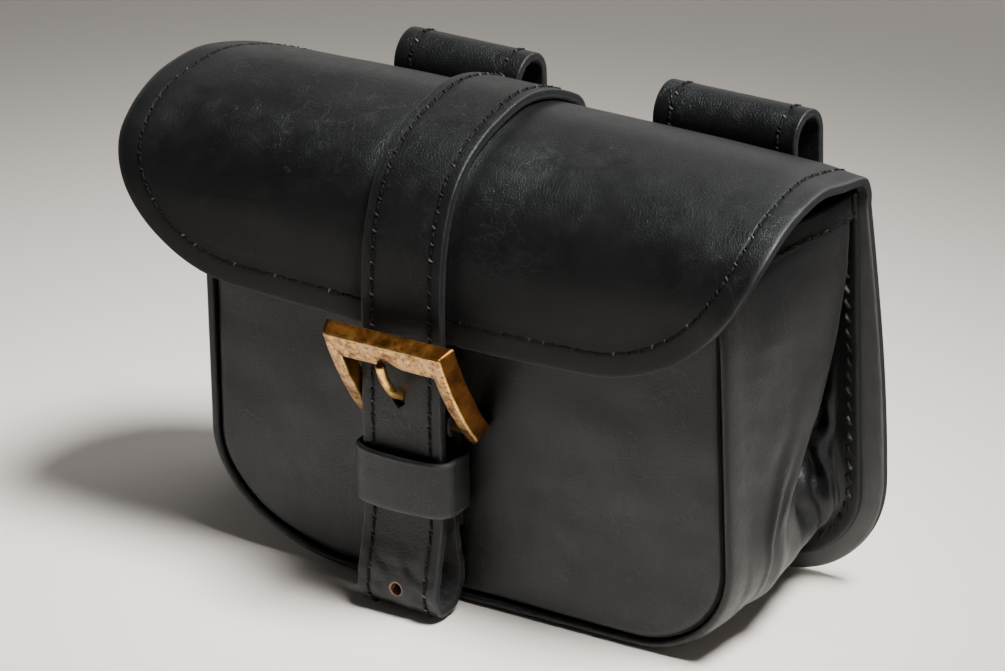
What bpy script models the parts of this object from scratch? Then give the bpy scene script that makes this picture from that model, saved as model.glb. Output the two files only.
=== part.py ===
"""Belt pouch of black leather with a flap, a closing strap with an antique brass buckle and two belt loops.

The pouch stands upright. X runs to the right as seen from the front, Y to the back and Z up.
While the pieces are made, Y is 0 at the front face of the back panel, X is 0 at the middle of the
front panel and Z is 0 at the surface that the pouch stands on. The last step moves everything so that
the origin is at the middle of the bottom of the whole pouch's box.
"""
import math

import bmesh
import bpy
import numpy as np

MM = 0.001

# Fit
FIT_GAP = 0.3 * MM                 # between pieces that touch

# Pouch body
BODY_WIDTH = 176.5 * MM            # front panel, seam to seam
BODY_DEPTH = 68.0 * MM             # front panel's face to the back panel's front face
BODY_HEIGHT = 128.5 * MM           # top edge of the gusset above the ground
CORNER_WIDTH = 50.0 * MM           # front panel's bottom left corner, across
CORNER_HEIGHT = 35.0 * MM          # and up
RIGHT_CORNER_WIDTH = 31.0 * MM     # bottom right corner, which is squarer
RIGHT_CORNER_HEIGHT = 29.0 * MM
RIGHT_LEAN = 2.0 * MM              # right side stands out this much more at its bottom
FRONT_WALL = 2.4 * MM
FRONT_TOP_DROP = 9.0 * MM          # front panel's top edge below the gusset's
FRONT_RIM_DEPTH = 6.5 * MM         # how far the front panel's rim is turned in at the seam
FRONT_RIM_ROUND = 3.2 * MM

# Gusset
GUSSET_WALL = 1.5 * MM
ROLL_WIDTH = 3.4 * MM              # gusset's front roll outside the seam
ROLL_LENGTH = 8.0 * MM             # and back along the side
ROLL_PROUD = 0.3 * MM              # roll's front before the front panel's face
SIDE_FLARE = 1.5 * MM              # back seam outside the front seam, on the sides
BOTTOM_RISE = 8.5 * MM             # back seam above the front seam, along the bottom
FLANGE_WIDTH = 8.0 * MM            # turned out on the back panel
PLEAT_DEPTH = 15.0 * MM            # deepest fold behind the side's crease
CREASE_BULGE = 2.6 * MM            # crease outside the roll
GUSSET_FRONT_DROP = 8.0 * MM       # top edge's fall towards the front

# Back panel and flap
BACK_WALL = 3.0 * MM
BACK_WIDTH = 213.5 * MM            # widest, low on the back panel
WAIST_WIDTH = 201.0 * MM           # at the top bend
FLAP_WIDTH = 223.5 * MM            # widest, on the front
FLAP_SHIFT = -7.3 * MM             # flap sits this far to the left at its front
BACK_CORNER = 37.0 * MM            # bottom corners of the back panel
BEND_DROP = 1.5 * MM               # the back starts to bend over this far below the gusset's top
FLAP_RISE = 20.5 * MM              # ridge of the flap above the gusset's top
BEND_START = BODY_HEIGHT - BEND_DROP
FLAP_TOP = BODY_HEIGHT + FLAP_RISE
FLAP_DROOP = 2.8 * MM              # the ridge is this much lower at the flap's sides
FLAP_STAND_OUT = 9.2 * MM          # flap's front face before the front panel's
FLAP_REACH = BODY_DEPTH + FLAP_STAND_OUT
FLAP_EDGE = 90.0 * MM              # height of the flap's lower edge in the middle
FLAP_CORNER_HEIGHT = 46.0 * MM     # flap's left front corner, along the leather
FLAP_CORNER_WIDTH = 46.0 * MM
FLAP_PULL = 11.0 * MM              # right front corner is this much larger each way
FLAP_EDGE_BOW = 5.0 * MM           # how much the lower edge rises towards its corners

# Closing strap
STRAP_WIDTH = 28.0 * MM
STRAP_THICK = 3.2 * MM
STRAP_X = -12.4 * MM               # strap's middle, left of the pouch's middle
STRAP_REAR = 1.0 * MM              # rear end before the back panel's front face
STRAP_STAND_OFF = 1.0 * MM         # hangs this far in front of the flap's face
TAIL_TOP = 51.0 * MM               # end of the strap's folded tail, behind the keeper
TAIL_BOTTOM = 1.0 * MM             # lowest point of the tail above the ground
PRONG_HOLE_WIDTH = 5.0 * MM
PRONG_HOLE_HEIGHT = 9.0 * MM
PRONG_HOLE_RISE = 10.5 * MM        # hole's middle above the heel bar
SPARE_HOLE = 4.0 * MM
SPARE_HOLE_Z = 9.8 * MM

# Buckle
BUCKLE_X = -10.9 * MM              # buckle's middle, beside the strap's
BUCKLE_WIDTH = 44.6 * MM           # across the back of the frame
BUCKLE_LENGTH = 41.4 * MM          # from the top bar's upper edge to the rounded heel ends
BUCKLE_THICK = 6.0 * MM
BUCKLE_SLANT = 2.0 * MM            # front face is this much narrower at each side
TOP_BAR = 9.0 * MM                 # height of the top bar's face
SIDE_BAR = 6.2 * MM                # width of the side bars at the back of the frame
BUCKLE_BEND = 18.0                 # degrees: the frame is curved, and steeper at its heel
BUCKLE_CLEAR = 3.6 * MM            # top bar's lower edge before the strap's face
HEEL_BAR = 3.6 * MM                # thin round bar at the heel
HEEL_BAR_BACK = 0.1 * MM           # the bar lies this far behind the frame's middle
HEEL_Z = 61.5 * MM
NOTCH_WIDTH = 4.4 * MM
NOTCH_DEPTH = 1.2 * MM
PRONG_THICK = 3.0 * MM
EYE_THICK = 2.0 * MM               # prong's eye round the heel bar
BUCKLE_EDGE = 0.5 * MM             # worn edges of the frame

# Chape, the strip that holds the heel bar
CHAPE_WIDTH = 26.0 * MM
CHAPE_THICK = 1.6 * MM
CHAPE_END = 27.0 * MM              # height of its lower end
CHAPE_SLOT = 6.0 * MM              # room for the prong's eye
CHAPE_WRAP = 250                   # degrees round the heel bar

# Keeper
KEEPER_HEIGHT = 17.0 * MM
KEEPER_BOTTOM = 35.0 * MM
KEEPER_WALL = 2.0 * MM
KEEPER_BACK_WALL = 1.5 * MM
KEEPER_ROUND = 2.6 * MM

# Belt loops
LOOP_WIDTH = 49.0 * MM
LOOP_SPACING = 94.4 * MM           # middle to middle
LOOP_SHIFT = 2.3 * MM              # both loops sit this far to the right
LOOP_WALL = 2.8 * MM
LOOP_RISE = 18.5 * MM              # top of the loops above the gusset's top
LOOP_TOP = BODY_HEIGHT + LOOP_RISE
LOOP_ROUND = 9.2 * MM              # outside radius of the fold at the top
LOOP_BOTTOM = 42.0 * MM
LOOP_JOINT = 60.0 * MM             # below this both leaves lie together

# Outside of the flap from the bend to its lower edge, as seen from the side.
# forward is a share of FLAP_REACH, up a share of the height from FLAP_EDGE to FLAP_TOP.
FLAP_PROFILE = [
    {"forward": 0.000, "up": 0.805},
    {"forward": 0.060, "up": 0.860},
    {"forward": 0.170, "up": 0.930},
    {"forward": 0.290, "up": 0.980},
    {"forward": 0.410, "up": 1.000},
    {"forward": 0.545, "up": 0.980},
    {"forward": 0.680, "up": 0.937},
    {"forward": 0.800, "up": 0.862},
    {"forward": 0.892, "up": 0.748},
    {"forward": 0.948, "up": 0.602},
    {"forward": 0.980, "up": 0.440},
    {"forward": 0.995, "up": 0.260},
    {"forward": 1.000, "up": 0.115},
    {"forward": 1.000, "up": 0.000},
]

# Where the back panel starts to lean forward, above the straight back.
# out is a share of BACK_WALL, up a share of the way to the first row of FLAP_PROFILE.
SHOULDER = {"out": 0.93, "up": 0.45}

# Half width of the flap between the bend and its front corners.
# along is a share of the way, widen a share of the difference between the flap and the waist.
FLAP_SIDES = [
    {"along": 0.00, "widen": 0.00},
    {"along": 0.15, "widen": 0.10},
    {"along": 0.35, "widen": 0.48},
    {"along": 0.55, "widen": 0.80},
    {"along": 0.80, "widen": 0.98},
    {"along": 1.00, "widen": 1.00},
]

# The side's crease. back is its distance before the back panel as a share of BODY_DEPTH, out how far
# it stands out as a share of CREASE_BULGE, fold the depth of the pleat behind it as a share of
# PLEAT_DEPTH. height is a share of BODY_HEIGHT.
PLEAT = [
    {"height": 0.18, "back": 0.62, "out": 1.00, "fold": 0.00},
    {"height": 0.30, "back": 0.62, "out": 1.00, "fold": 0.55},
    {"height": 0.42, "back": 0.48, "out": 1.00, "fold": 0.95},
    {"height": 0.56, "back": 0.29, "out": 1.20, "fold": 1.00},
    {"height": 0.70, "back": 0.18, "out": 1.60, "fold": 0.75},
    {"height": 0.84, "back": 0.11, "out": 1.90, "fold": 0.40},
    {"height": 1.00, "back": 0.07, "out": 2.00, "fold": 0.10},
]

# The side wall of the gusset. bulge is its share of CREASE_BULGE half way to the crease, fold the
# place of the deepest fold as a share of the crease's distance, fall where the top edge starts to
# fall towards the front as a share of BODY_DEPTH.
SIDE_WALL = {"bulge": 0.6, "fold": 0.30, "fall": 0.6}

# The strap below the keeper, round its fold and back up behind.
# out is a share of the way from the front panel to the strap's straight run, height of KEEPER_BOTTOM.
TAIL = [
    {"out": 1.00, "height": 1.00},
    {"out": 1.14, "height": 0.72},
    {"out": 1.36, "height": 0.46},
    {"out": 1.46, "height": 0.26},
    {"out": 1.32, "height": 0.12},
    {"out": 1.00, "height": 0.07},
    {"out": 0.62, "height": 0.10},
    {"out": 0.32, "height": 0.22},
    {"out": 0.24, "height": 0.40},
    {"out": 0.40, "height": 0.66},
]

# The prong. start and end are the angles of its eye round the heel bar, out and up the place of its
# bend between the eye and the strap's hole as shares of the way, lift and tip how far it stands out
# of the frame's middle before the top bar and at the notch, as shares of BUCKLE_THICK.
PRONG = {"start": 205, "end": 450, "out": 0.45, "up": 0.25, "lift": 0.9, "tip": 0.3}

# The belt loop's rear leaf between its fold and the joint of both leaves.
# out is a share of the fold's depth, height a share of the way up from the joint.
LOOP_LEAF = [
    {"out": 0.99, "height": 0.78},
    {"out": 0.82, "height": 0.52},
    {"out": 0.40, "height": 0.22},
    {"out": 0.02, "height": 0.02},
]

# The two belt loops. side is where they sit, in halves of LOOP_SPACING, width a share of LOOP_WIDTH
# and height a share of LOOP_TOP.
BELT_LOOPS = [
    {"name": "belt_loop_left", "side": -1, "width": 0.912, "height": 0.992},
    {"name": "belt_loop_right", "side": 1, "width": 1.000, "height": 1.000},
]

# Fineness of the meshes
CORNER_STEPS = 9
FLAP_CORNER_STEPS = 11
RIM_STEPS = 4
SIDE_STEPS = 8
FLOOR_STEPS = 5
SPLINE_STEPS = 3
PLEAT_STEPS = 4
SHEET_COLUMNS = 8
PRONG_SIDES = 10
BAR_STEPS = 6
EYE_STEPS = 12


def clear_scene():
    """Remove whatever the file holds."""
    for item in list(bpy.data.objects):
        bpy.data.objects.remove(item, do_unlink=True)


def material(name, colour, roughness, metallic=0.0):
    """A plain Principled BSDF material."""
    mat = bpy.data.materials.new(name)
    mat.use_nodes = True
    shader = mat.node_tree.nodes["Principled BSDF"]
    shader.inputs["Base Color"].default_value = (*colour, 1.0)
    shader.inputs["Roughness"].default_value = roughness
    shader.inputs["Metallic"].default_value = metallic
    mat.diffuse_color = (*colour, 1.0)
    return mat


def column(rows, key):
    """One named column of a table as an array."""
    return np.array([row[key] for row in rows])


def smooth_path(points, steps):
    """A Catmull-Rom curve through the points, with this many steps between two of them."""
    points = np.asarray(points, dtype=float)
    first = 2 * points[0] - points[1]
    last = 2 * points[-1] - points[-2]
    padded = np.vstack([first, points, last])
    out = []
    for i in range(len(points) - 1):
        a, b, c, d = padded[i:i + 4]
        for k in range(steps):
            t = k / steps
            out.append(0.5 * (2 * b + (c - a) * t + (2 * a - 5 * b + 4 * c - d) * t ** 2
                              + (3 * b - a - 3 * c + d) * t ** 3))
    out.append(points[-1])
    return np.array(out)


def arc(centre, radius_a, radius_b, start, end, steps):
    """Points on an elliptic arc, in degrees, both ends included."""
    angle = np.radians(np.linspace(start, end, steps + 1))
    return np.column_stack([centre[0] + radius_a * np.cos(angle), centre[1] + radius_b * np.sin(angle)])


def lengths(path):
    """Distance along a path at each of its points."""
    return np.concatenate([[0.0], np.cumsum(np.linalg.norm(np.diff(path, axis=0), axis=1))])


def path_normals(path):
    """Unit normals of a plane path, to the left of its direction."""
    direction = np.gradient(path, axis=0)
    direction /= np.linalg.norm(direction, axis=1)[:, None]
    return np.column_stack([-direction[:, 1], direction[:, 0]])


def offset_path(path, distance):
    """The path moved to its left by a distance."""
    return path + distance * path_normals(path)


def new_object(name, vertices, faces, mat, merge=0.0, smooth_angle=35.0):
    """A mesh object with outward faces and smooth shading below an angle."""
    mesh = bpy.data.meshes.new(name)
    mesh.from_pydata([tuple(v) for v in vertices], [], faces)
    work = bmesh.new()
    work.from_mesh(mesh)
    if merge:
        bmesh.ops.remove_doubles(work, verts=work.verts, dist=merge)
    bmesh.ops.recalc_face_normals(work, faces=work.faces)
    work.to_mesh(mesh)
    work.free()
    mesh.shade_smooth()
    mesh.set_sharp_from_angle(angle=math.radians(smooth_angle))
    mesh.materials.append(mat)
    item = bpy.data.objects.new(name, mesh)
    bpy.context.collection.objects.link(item)
    return item


def grid_faces(rows, cols, start):
    """Quads of a grid of points that are numbered row by row from a start."""
    faces = []
    for i in range(rows - 1):
        for j in range(cols - 1):
            a = start + i * cols + j
            faces.append((a, a + 1, a + cols + 1, a + cols))
    return faces


def closed_sheet(name, outer, inner, mat):
    """A sheet with a wall: two grids of points of the same size, joined round their edges."""
    rows, cols = outer.shape[:2]
    count = rows * cols
    vertices = np.vstack([outer.reshape(-1, 3), inner.reshape(-1, 3)])
    index = np.arange(count).reshape(rows, cols)
    faces = grid_faces(rows, cols, 0) + [face[::-1] for face in grid_faces(rows, cols, count)]
    rim = np.concatenate([index[0, :-1], index[:-1, -1], index[-1, :0:-1], index[:0:-1, 0]])
    for a, b in zip(rim, np.roll(rim, -1)):
        faces.append((b, a, a + count, b + count))
    return new_object(name, vertices, faces, mat)


def closed_loft(name, rings, mat):
    """A solid through rings of points, each ring closed, with flat ends."""
    rings = np.asarray(rings)
    count, around = rings.shape[:2]
    vertices = rings.reshape(-1, 3)
    faces = []
    for i in range(count - 1):
        for j in range(around):
            a = i * around + j
            b = i * around + (j + 1) % around
            faces.append((a, b, b + around, a + around))
    faces.append(tuple(range(around))[::-1])
    faces.append(tuple(range((count - 1) * around, count * around)))
    return new_object(name, vertices, faces, mat)


def closed_ring(name, rings, mat):
    """A solid through rings of points that meet the first one again."""
    rings = np.asarray(rings)
    count, around = rings.shape[:2]
    faces = []
    for i in range(count):
        for j in range(around):
            a = i * around + j
            b = i * around + (j + 1) % around
            c = ((i + 1) % count) * around
            faces.append((a, b, c + (j + 1) % around, c + j))
    return new_object(name, rings.reshape(-1, 3), faces, mat)


def band(name, path, normals_out, thickness, x_low, x_high, mat, columns=2):
    """A strip whose side view is a path in Y and Z, reaching from x_low to x_high."""
    outer = path + normals_out * thickness / 2
    inner = path - normals_out * thickness / 2
    share = np.linspace(0.0, 1.0, columns)
    low = np.broadcast_to(x_low, len(path))
    high = np.broadcast_to(x_high, len(path))
    x = low[:, None] + (high - low)[:, None] * share[None, :]

    def grid(side):
        return np.stack([x, np.repeat(side[:, :1], columns, 1), np.repeat(side[:, 1:], columns, 1)], axis=2)

    return closed_sheet(name, grid(outer), grid(inner), mat)


def add_cut(item, cutter):
    """Cut a guide solid out of an item and keep the guide hidden."""
    cutter.hide_render = True
    cutter.display_type = "WIRE"
    cut = item.modifiers.new("cut_" + cutter.name, "BOOLEAN")
    cut.operation = "DIFFERENCE"
    cut.solver = "EXACT"
    cut.object = cutter


def slot_outline(width, height):
    """A slot with round ends, or a round hole where the width and height are equal."""
    straight = max(0.0, (height - width) / 2)
    upper = arc((0.0, straight), width / 2, width / 2, 0, 180, 6)
    lower = arc((0.0, -straight), width / 2, width / 2, 180, 360, 6)
    outline = np.vstack([upper, lower])
    step = np.linalg.norm(outline - np.roll(outline, 1, axis=0), axis=1)
    return outline[step > 0.001 * MM]


def cutter(name, outline, depth, centre, mat):
    """A guide solid along Y with an outline in X and Z."""
    rings = []
    for y in (-depth / 2, depth / 2):
        ring = np.column_stack([outline[:, 0], np.full(len(outline), y), outline[:, 1]])
        rings.append(ring + np.asarray(centre))
    return closed_loft(name, rings, mat)


def flap_line():
    """Side view (Y, Z) of the outside of the back panel and flap, from the back's bottom edge to the flap's."""
    forward = column(FLAP_PROFILE, "forward") * FLAP_REACH
    up = FLAP_EDGE + column(FLAP_PROFILE, "up") * (FLAP_TOP - FLAP_EDGE)
    flap = np.column_stack([-forward, up])
    shoulder = np.array([BACK_WALL * SHOULDER["out"], BEND_START + (flap[0, 1] - BEND_START) * SHOULDER["up"]])
    over = smooth_path(np.vstack([[BACK_WALL, BEND_START], shoulder, flap]), SPLINE_STEPS)
    heights = np.concatenate([
        BACK_CORNER * (1 - np.cos(np.radians(np.linspace(0, 90, 9)))),
        np.linspace(BACK_CORNER, BEND_START, 7)[1:-1],
    ])
    back = np.column_stack([np.full(len(heights), BACK_WALL), heights])
    return np.vstack([back, over])


def flap_front_length():
    """Length of the flap's side view from the bend to its lower edge."""
    line = flap_line()
    along = lengths(line)
    bend = along[np.argmin(np.abs(line[:, 1] - BEND_START) + np.abs(line[:, 0] - BACK_WALL))]
    return bend, along[-1]


def back_and_flap(mat):
    """Back panel and flap in one piece of leather."""
    line = flap_line()
    along = lengths(line)
    bend, end = flap_front_length()
    corner_start = end - FLAP_CORNER_HEIGHT - FLAP_PULL
    keep = along < corner_start
    corner = corner_start + (end - corner_start) * np.sin(np.radians(np.linspace(0, 90, FLAP_CORNER_STEPS + 1)))
    stations = np.concatenate([along[keep], corner])
    outside = np.column_stack([np.interp(stations, along, line[:, 0]), np.interp(stations, along, line[:, 1])])
    normal = path_normals(outside)

    waist = WAIST_WIDTH / 2
    share = np.clip((stations - bend) / (corner_start - bend), 0, 1)
    widen = np.interp(share, column(FLAP_SIDES, "along"), column(FLAP_SIDES, "widen"))
    half = waist + widen * (FLAP_WIDTH / 2 - waist)
    shift = widen * FLAP_SHIFT
    on_back = stations < bend
    low = np.clip((BEND_START - outside[:, 1]) / (BEND_START - BACK_CORNER), 0, 1)
    back_half = waist + (BACK_WIDTH / 2 - waist) * np.sin(np.radians(90 * low))
    half = np.where(on_back, back_half, half)
    round_back = np.clip((BACK_CORNER - stations) / BACK_CORNER, 0, 1)
    half = half - BACK_CORNER * (1 - np.sqrt(1 - round_back ** 2)) * on_back

    def side(direction, grow):
        """X of one side edge, its front corner this much larger."""
        turn = np.clip((stations - end + FLAP_CORNER_HEIGHT + grow) / (FLAP_CORNER_HEIGHT + grow), 0, 1)
        return shift + direction * (half - (FLAP_CORNER_WIDTH + grow) * (1 - np.sqrt(1 - turn ** 2)))

    across = np.linspace(0, 1, SHEET_COLUMNS + 1)
    left, right = side(-1, 0.0), side(1, FLAP_PULL)
    x = left[:, None] + (right - left)[:, None] * across[None, :]
    round_front = np.clip((stations - corner_start) / (end - corner_start), 0, 1)
    bow = FLAP_EDGE_BOW * (x / (FLAP_WIDTH / 2)) ** 2 * (round_front[:, None] ** 2)
    y = outside[:, 0][:, None] + 0 * x
    ridge = np.clip((outside[:, 1] - BEND_START) / (FLAP_TOP - BEND_START), 0, 1)
    droop = FLAP_DROOP * ridge[:, None] * (x / (FLAP_WIDTH / 2)) ** 2
    z = outside[:, 1][:, None] + bow - droop
    outer = np.stack([x, y, z], axis=2)
    inner = outer.copy()
    inner[:, :, 1] += normal[:, 0][:, None] * BACK_WALL
    inner[:, :, 2] += normal[:, 1][:, None] * BACK_WALL
    return closed_sheet("back_and_flap", outer, inner, mat)


def outline_side(direction, top):
    """One half of the front panel's outline (X, Z), from a top height down to the bottom, and its normals."""
    width, height, lean = CORNER_WIDTH, CORNER_HEIGHT, 0.0
    if direction > 0:
        width, height, lean = RIGHT_CORNER_WIDTH, RIGHT_CORNER_HEIGHT, RIGHT_LEAN
    half = BODY_WIDTH / 2 + lean
    corner_top = ROLL_WIDTH + height
    corner = arc((half - width, corner_top), width, height, 0, -90, CORNER_STEPS)
    down = np.linspace(top, corner_top, SIDE_STEPS + 1)[:-1]
    straight = np.column_stack([half - lean * (down - corner_top) / (BODY_HEIGHT - corner_top), down])
    path = np.vstack([straight, corner])
    angle = np.radians(np.linspace(0, -90, CORNER_STEPS + 1))
    normal = np.column_stack([np.cos(angle) / width, np.sin(angle) / height])
    normal /= np.linalg.norm(normal, axis=1)[:, None]
    sides = np.tile([1.0, 0.0], (SIDE_STEPS, 1))
    return path * [direction, 1], np.vstack([sides, normal]) * [direction, 1]


def front_panel(mat):
    """Front panel: a flat plate whose rim is turned in along the seam, then given its wall."""
    top = BODY_HEIGHT - FRONT_TOP_DROP
    round_out = FRONT_RIM_ROUND + FIT_GAP / 2
    left_side, left_out = outline_side(-1, top)
    right_side, right_out = outline_side(1, top)
    left_edge = left_side - left_out * round_out
    right_edge = right_side - right_out * round_out
    share = np.linspace(0.0, 1.0, SHEET_COLUMNS + 1)[None, :, None]
    plan = left_edge[:, None] + (right_edge - left_edge)[:, None] * share
    face = np.stack([plan[:, :, 0], np.full(plan.shape[:2], -BODY_DEPTH), plan[:, :, 1]], axis=2)

    bottom = face[-1, 1:-1]
    rim = np.vstack([face[:, 0], bottom, face[::-1, -1]])
    down = np.tile([0.0, -1.0], (len(bottom), 1))
    out = np.vstack([left_out, down, right_out[::-1]])
    strip = [rim]
    for angle in np.radians(np.linspace(0.0, 90.0, RIM_STEPS + 1)[1:]):
        ring = rim.copy()
        ring[:, 0] += out[:, 0] * FRONT_RIM_ROUND * np.sin(angle)
        ring[:, 2] += out[:, 1] * FRONT_RIM_ROUND * np.sin(angle)
        ring[:, 1] += FRONT_RIM_ROUND * (1 - np.cos(angle))
        strip.append(ring)
    last = strip[-1].copy()
    last[:, 1] = -BODY_DEPTH + FRONT_RIM_DEPTH
    strip.append(last)
    strip = np.stack(strip)

    count = face.shape[0] * face.shape[1]
    vertices = np.vstack([face.reshape(-1, 3), strip.reshape(-1, 3)])
    faces = grid_faces(*face.shape[:2], 0) + grid_faces(*strip.shape[:2], count)
    item = new_object("front_panel", vertices, faces, mat, merge=0.01 * MM)
    wall = item.modifiers.new("leather", "SOLIDIFY")
    wall.thickness = FRONT_WALL
    wall.offset = -1.0
    wall.use_even_offset = True
    return item


def gusset(mat):
    """Gusset: a band carried round the front panel's outline, pleated behind a crease on each side."""
    left, left_out = outline_side(-1, BODY_HEIGHT)
    right, right_out = outline_side(1, BODY_HEIGHT)
    floor = np.column_stack([np.linspace(left[-1, 0], right[-1, 0], FLOOR_STEPS + 1)[1:-1],
                             np.full(FLOOR_STEPS - 1, left[-1, 1])])
    path = np.vstack([left, floor, right[::-1]])
    down = np.tile([0.0, -1.0], (len(floor), 1))
    out = np.vstack([left_out, down, right_out[::-1]])

    half_wall = GUSSET_WALL / 2
    inner = FIT_GAP / 2 + half_wall
    outer = ROLL_WIDTH - half_wall
    turn = (outer - inner) / 2
    turn_y = -BODY_DEPTH + turn + half_wall - ROLL_PROUD
    roll = [[inner, -BODY_DEPTH + FRONT_RIM_DEPTH], [inner, turn_y]]
    for angle in np.radians(np.linspace(0.0, 180.0, RIM_STEPS + 1)[1:-1]):
        roll.append([inner + turn - turn * math.cos(angle), turn_y - turn * math.sin(angle)])
    roll.append([outer, turn_y])
    flat_y = -(FIT_GAP + half_wall)
    corner_top = ROLL_WIDTH + CORNER_HEIGHT
    rings = []
    for point, normal in zip(path, out):
        height = point[1] / BODY_HEIGHT
        sideways = normal[0] ** 2
        downward = normal[1] ** 2
        crease = -BODY_DEPTH * np.interp(height, column(PLEAT, "height"), column(PLEAT, "back"))
        fold = PLEAT_DEPTH * np.interp(height, column(PLEAT, "height"), column(PLEAT, "fold")) * sideways
        bulge = CREASE_BULGE * np.interp(height, column(PLEAT, "height"), column(PLEAT, "out")) * sideways
        seam = SIDE_FLARE * sideways - BOTTOM_RISE * downward
        start = -BODY_DEPTH + ROLL_LENGTH
        level = outer * sideways + (outer + seam) / 2 * downward
        wall = [
            [outer, start],
            [level + bulge * SIDE_WALL["bulge"], (start + crease) / 2],
            [level + bulge, crease],
            [(level + seam) / 2 - fold, crease * SIDE_WALL["fold"] + flat_y],
            [seam, flat_y],
            [seam + FLANGE_WIDTH, flat_y],
        ]
        middle = np.vstack([roll, smooth_path(wall, PLEAT_STEPS)])
        middle[:, 1] = np.minimum(middle[:, 1], flat_y)
        normals = path_normals(middle)
        ring = np.vstack([middle + normals * half_wall, (middle - normals * half_wall)[::-1]])
        fall = np.clip((-ring[:, 1] / BODY_DEPTH - SIDE_WALL["fall"]) / (1 - SIDE_WALL["fall"]), 0, 1)
        lower = GUSSET_FRONT_DROP * fall ** 2
        z = point[1] + normal[1] * ring[:, 0]
        z = z - lower * np.clip((z - corner_top) / (BODY_HEIGHT - corner_top), 0, 1)
        rings.append(np.column_stack([point[0] + normal[0] * ring[:, 0], ring[:, 1], z]))
    return closed_loft("gusset", rings, mat)


def strap_line():
    """Side view of the closing strap's middle, from its rear end on the flap to the end of its folded tail."""
    line = flap_line()
    on_flap = line[(line[:, 0] < -STRAP_REAR) & (line[:, 1] > FLAP_EDGE)]
    lift = FIT_GAP + STRAP_THICK / 2
    over = offset_path(on_flap, -lift)
    straight = strap_run()
    reach = -straight - BODY_DEPTH
    tail = np.column_stack([
        -BODY_DEPTH - column(TAIL, "out") * reach,
        column(TAIL, "height") * KEEPER_BOTTOM,
    ])
    tail[:, 1] += TAIL_BOTTOM + STRAP_THICK / 2 - tail[:, 1].min()
    down = [[straight, HEEL_Z + PRONG_HOLE_RISE], [straight, KEEPER_BOTTOM + KEEPER_HEIGHT],
            [straight, KEEPER_BOTTOM + KEEPER_HEIGHT / 3]]
    back = strap_back_layer()
    up = [[back, KEEPER_BOTTOM], [back, KEEPER_BOTTOM + KEEPER_HEIGHT / 2], [back, TAIL_TOP]]
    lower = smooth_path(np.vstack([over[-1:], down, tail, up]), SPLINE_STEPS)
    return np.vstack([over[:-1], lower])


def strap_run():
    """Y of the strap's middle where it hangs straight through the buckle and keeper."""
    return -(FLAP_REACH + FIT_GAP + STRAP_THICK / 2 + STRAP_STAND_OFF)


def strap_back_layer():
    """Y of the middle of the strap's folded tail inside the keeper."""
    return -BODY_DEPTH - CHAPE_THICK - KEEPER_BACK_WALL - 3 * FIT_GAP - STRAP_THICK / 2


def closing_strap(mat, guide):
    """Closing strap over the flap, its tail folded back under, with the prong's hole and a spare hole."""
    line = strap_line()
    item = band("closing_strap", line, -path_normals(line), STRAP_THICK,
                STRAP_X - STRAP_WIDTH / 2, STRAP_X + STRAP_WIDTH / 2, mat)
    run = strap_run()
    slot = cutter("cut_prong_hole", slot_outline(PRONG_HOLE_WIDTH, PRONG_HOLE_HEIGHT), 3 * STRAP_THICK,
                  (STRAP_X, run, HEEL_Z + PRONG_HOLE_RISE), guide)
    add_cut(item, slot)
    front = line[line[:, 0] < run]
    tail_y = front[:, 0].min()
    hole = cutter("cut_spare_hole", slot_outline(SPARE_HOLE, SPARE_HOLE), 3 * STRAP_THICK,
                  (STRAP_X, tail_y, SPARE_HOLE_Z), guide)
    add_cut(item, hole)
    return item


def buckle_under():
    """Height of the top bar's lower edge up the frame's face, from the heel bar."""
    return BUCKLE_LENGTH - SIDE_BAR / 2 - TOP_BAR


def buckle_lean():
    """Angle of the frame's face from upright at its heel, and the radius of its curve.

    The chord from the heel to the top bar's lower edge leans so far that the bar clears the strap.
    """
    radius = BUCKLE_LENGTH / math.radians(BUCKLE_BEND)
    chord = 2 * radius * math.sin(buckle_under() / (2 * radius))
    strap_face = strap_run() - STRAP_THICK / 2
    forward = heel_y() - (strap_face - BUCKLE_CLEAR)
    back = BUCKLE_THICK / 2
    mean = math.atan2(back, chord) + math.asin(forward / math.hypot(chord, back))
    return mean + buckle_under() / (2 * radius), radius


def buckle_place(points):
    """Points in the buckle's own frame (across, up its face, out of its face) put on the pouch."""
    points = np.asarray(points, dtype=float)
    heel, radius = buckle_lean()
    tilt = heel - points[:, 1] / radius
    middle_y = heel_y() - HEEL_BAR_BACK * math.cos(heel)
    y = middle_y - radius * (np.cos(tilt) - math.cos(heel)) - points[:, 2] * np.cos(tilt)
    z = HEEL_Z + radius * (math.sin(heel) - np.sin(tilt)) - points[:, 2] * np.sin(tilt)
    return np.column_stack([BUCKLE_X + points[:, 0], y, z])


def heel_y():
    """Y of the heel bar: the prong's eye round it just clears the front panel."""
    return -BODY_DEPTH - 2 * FIT_GAP - EYE_THICK - HEEL_BAR / 2


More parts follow.
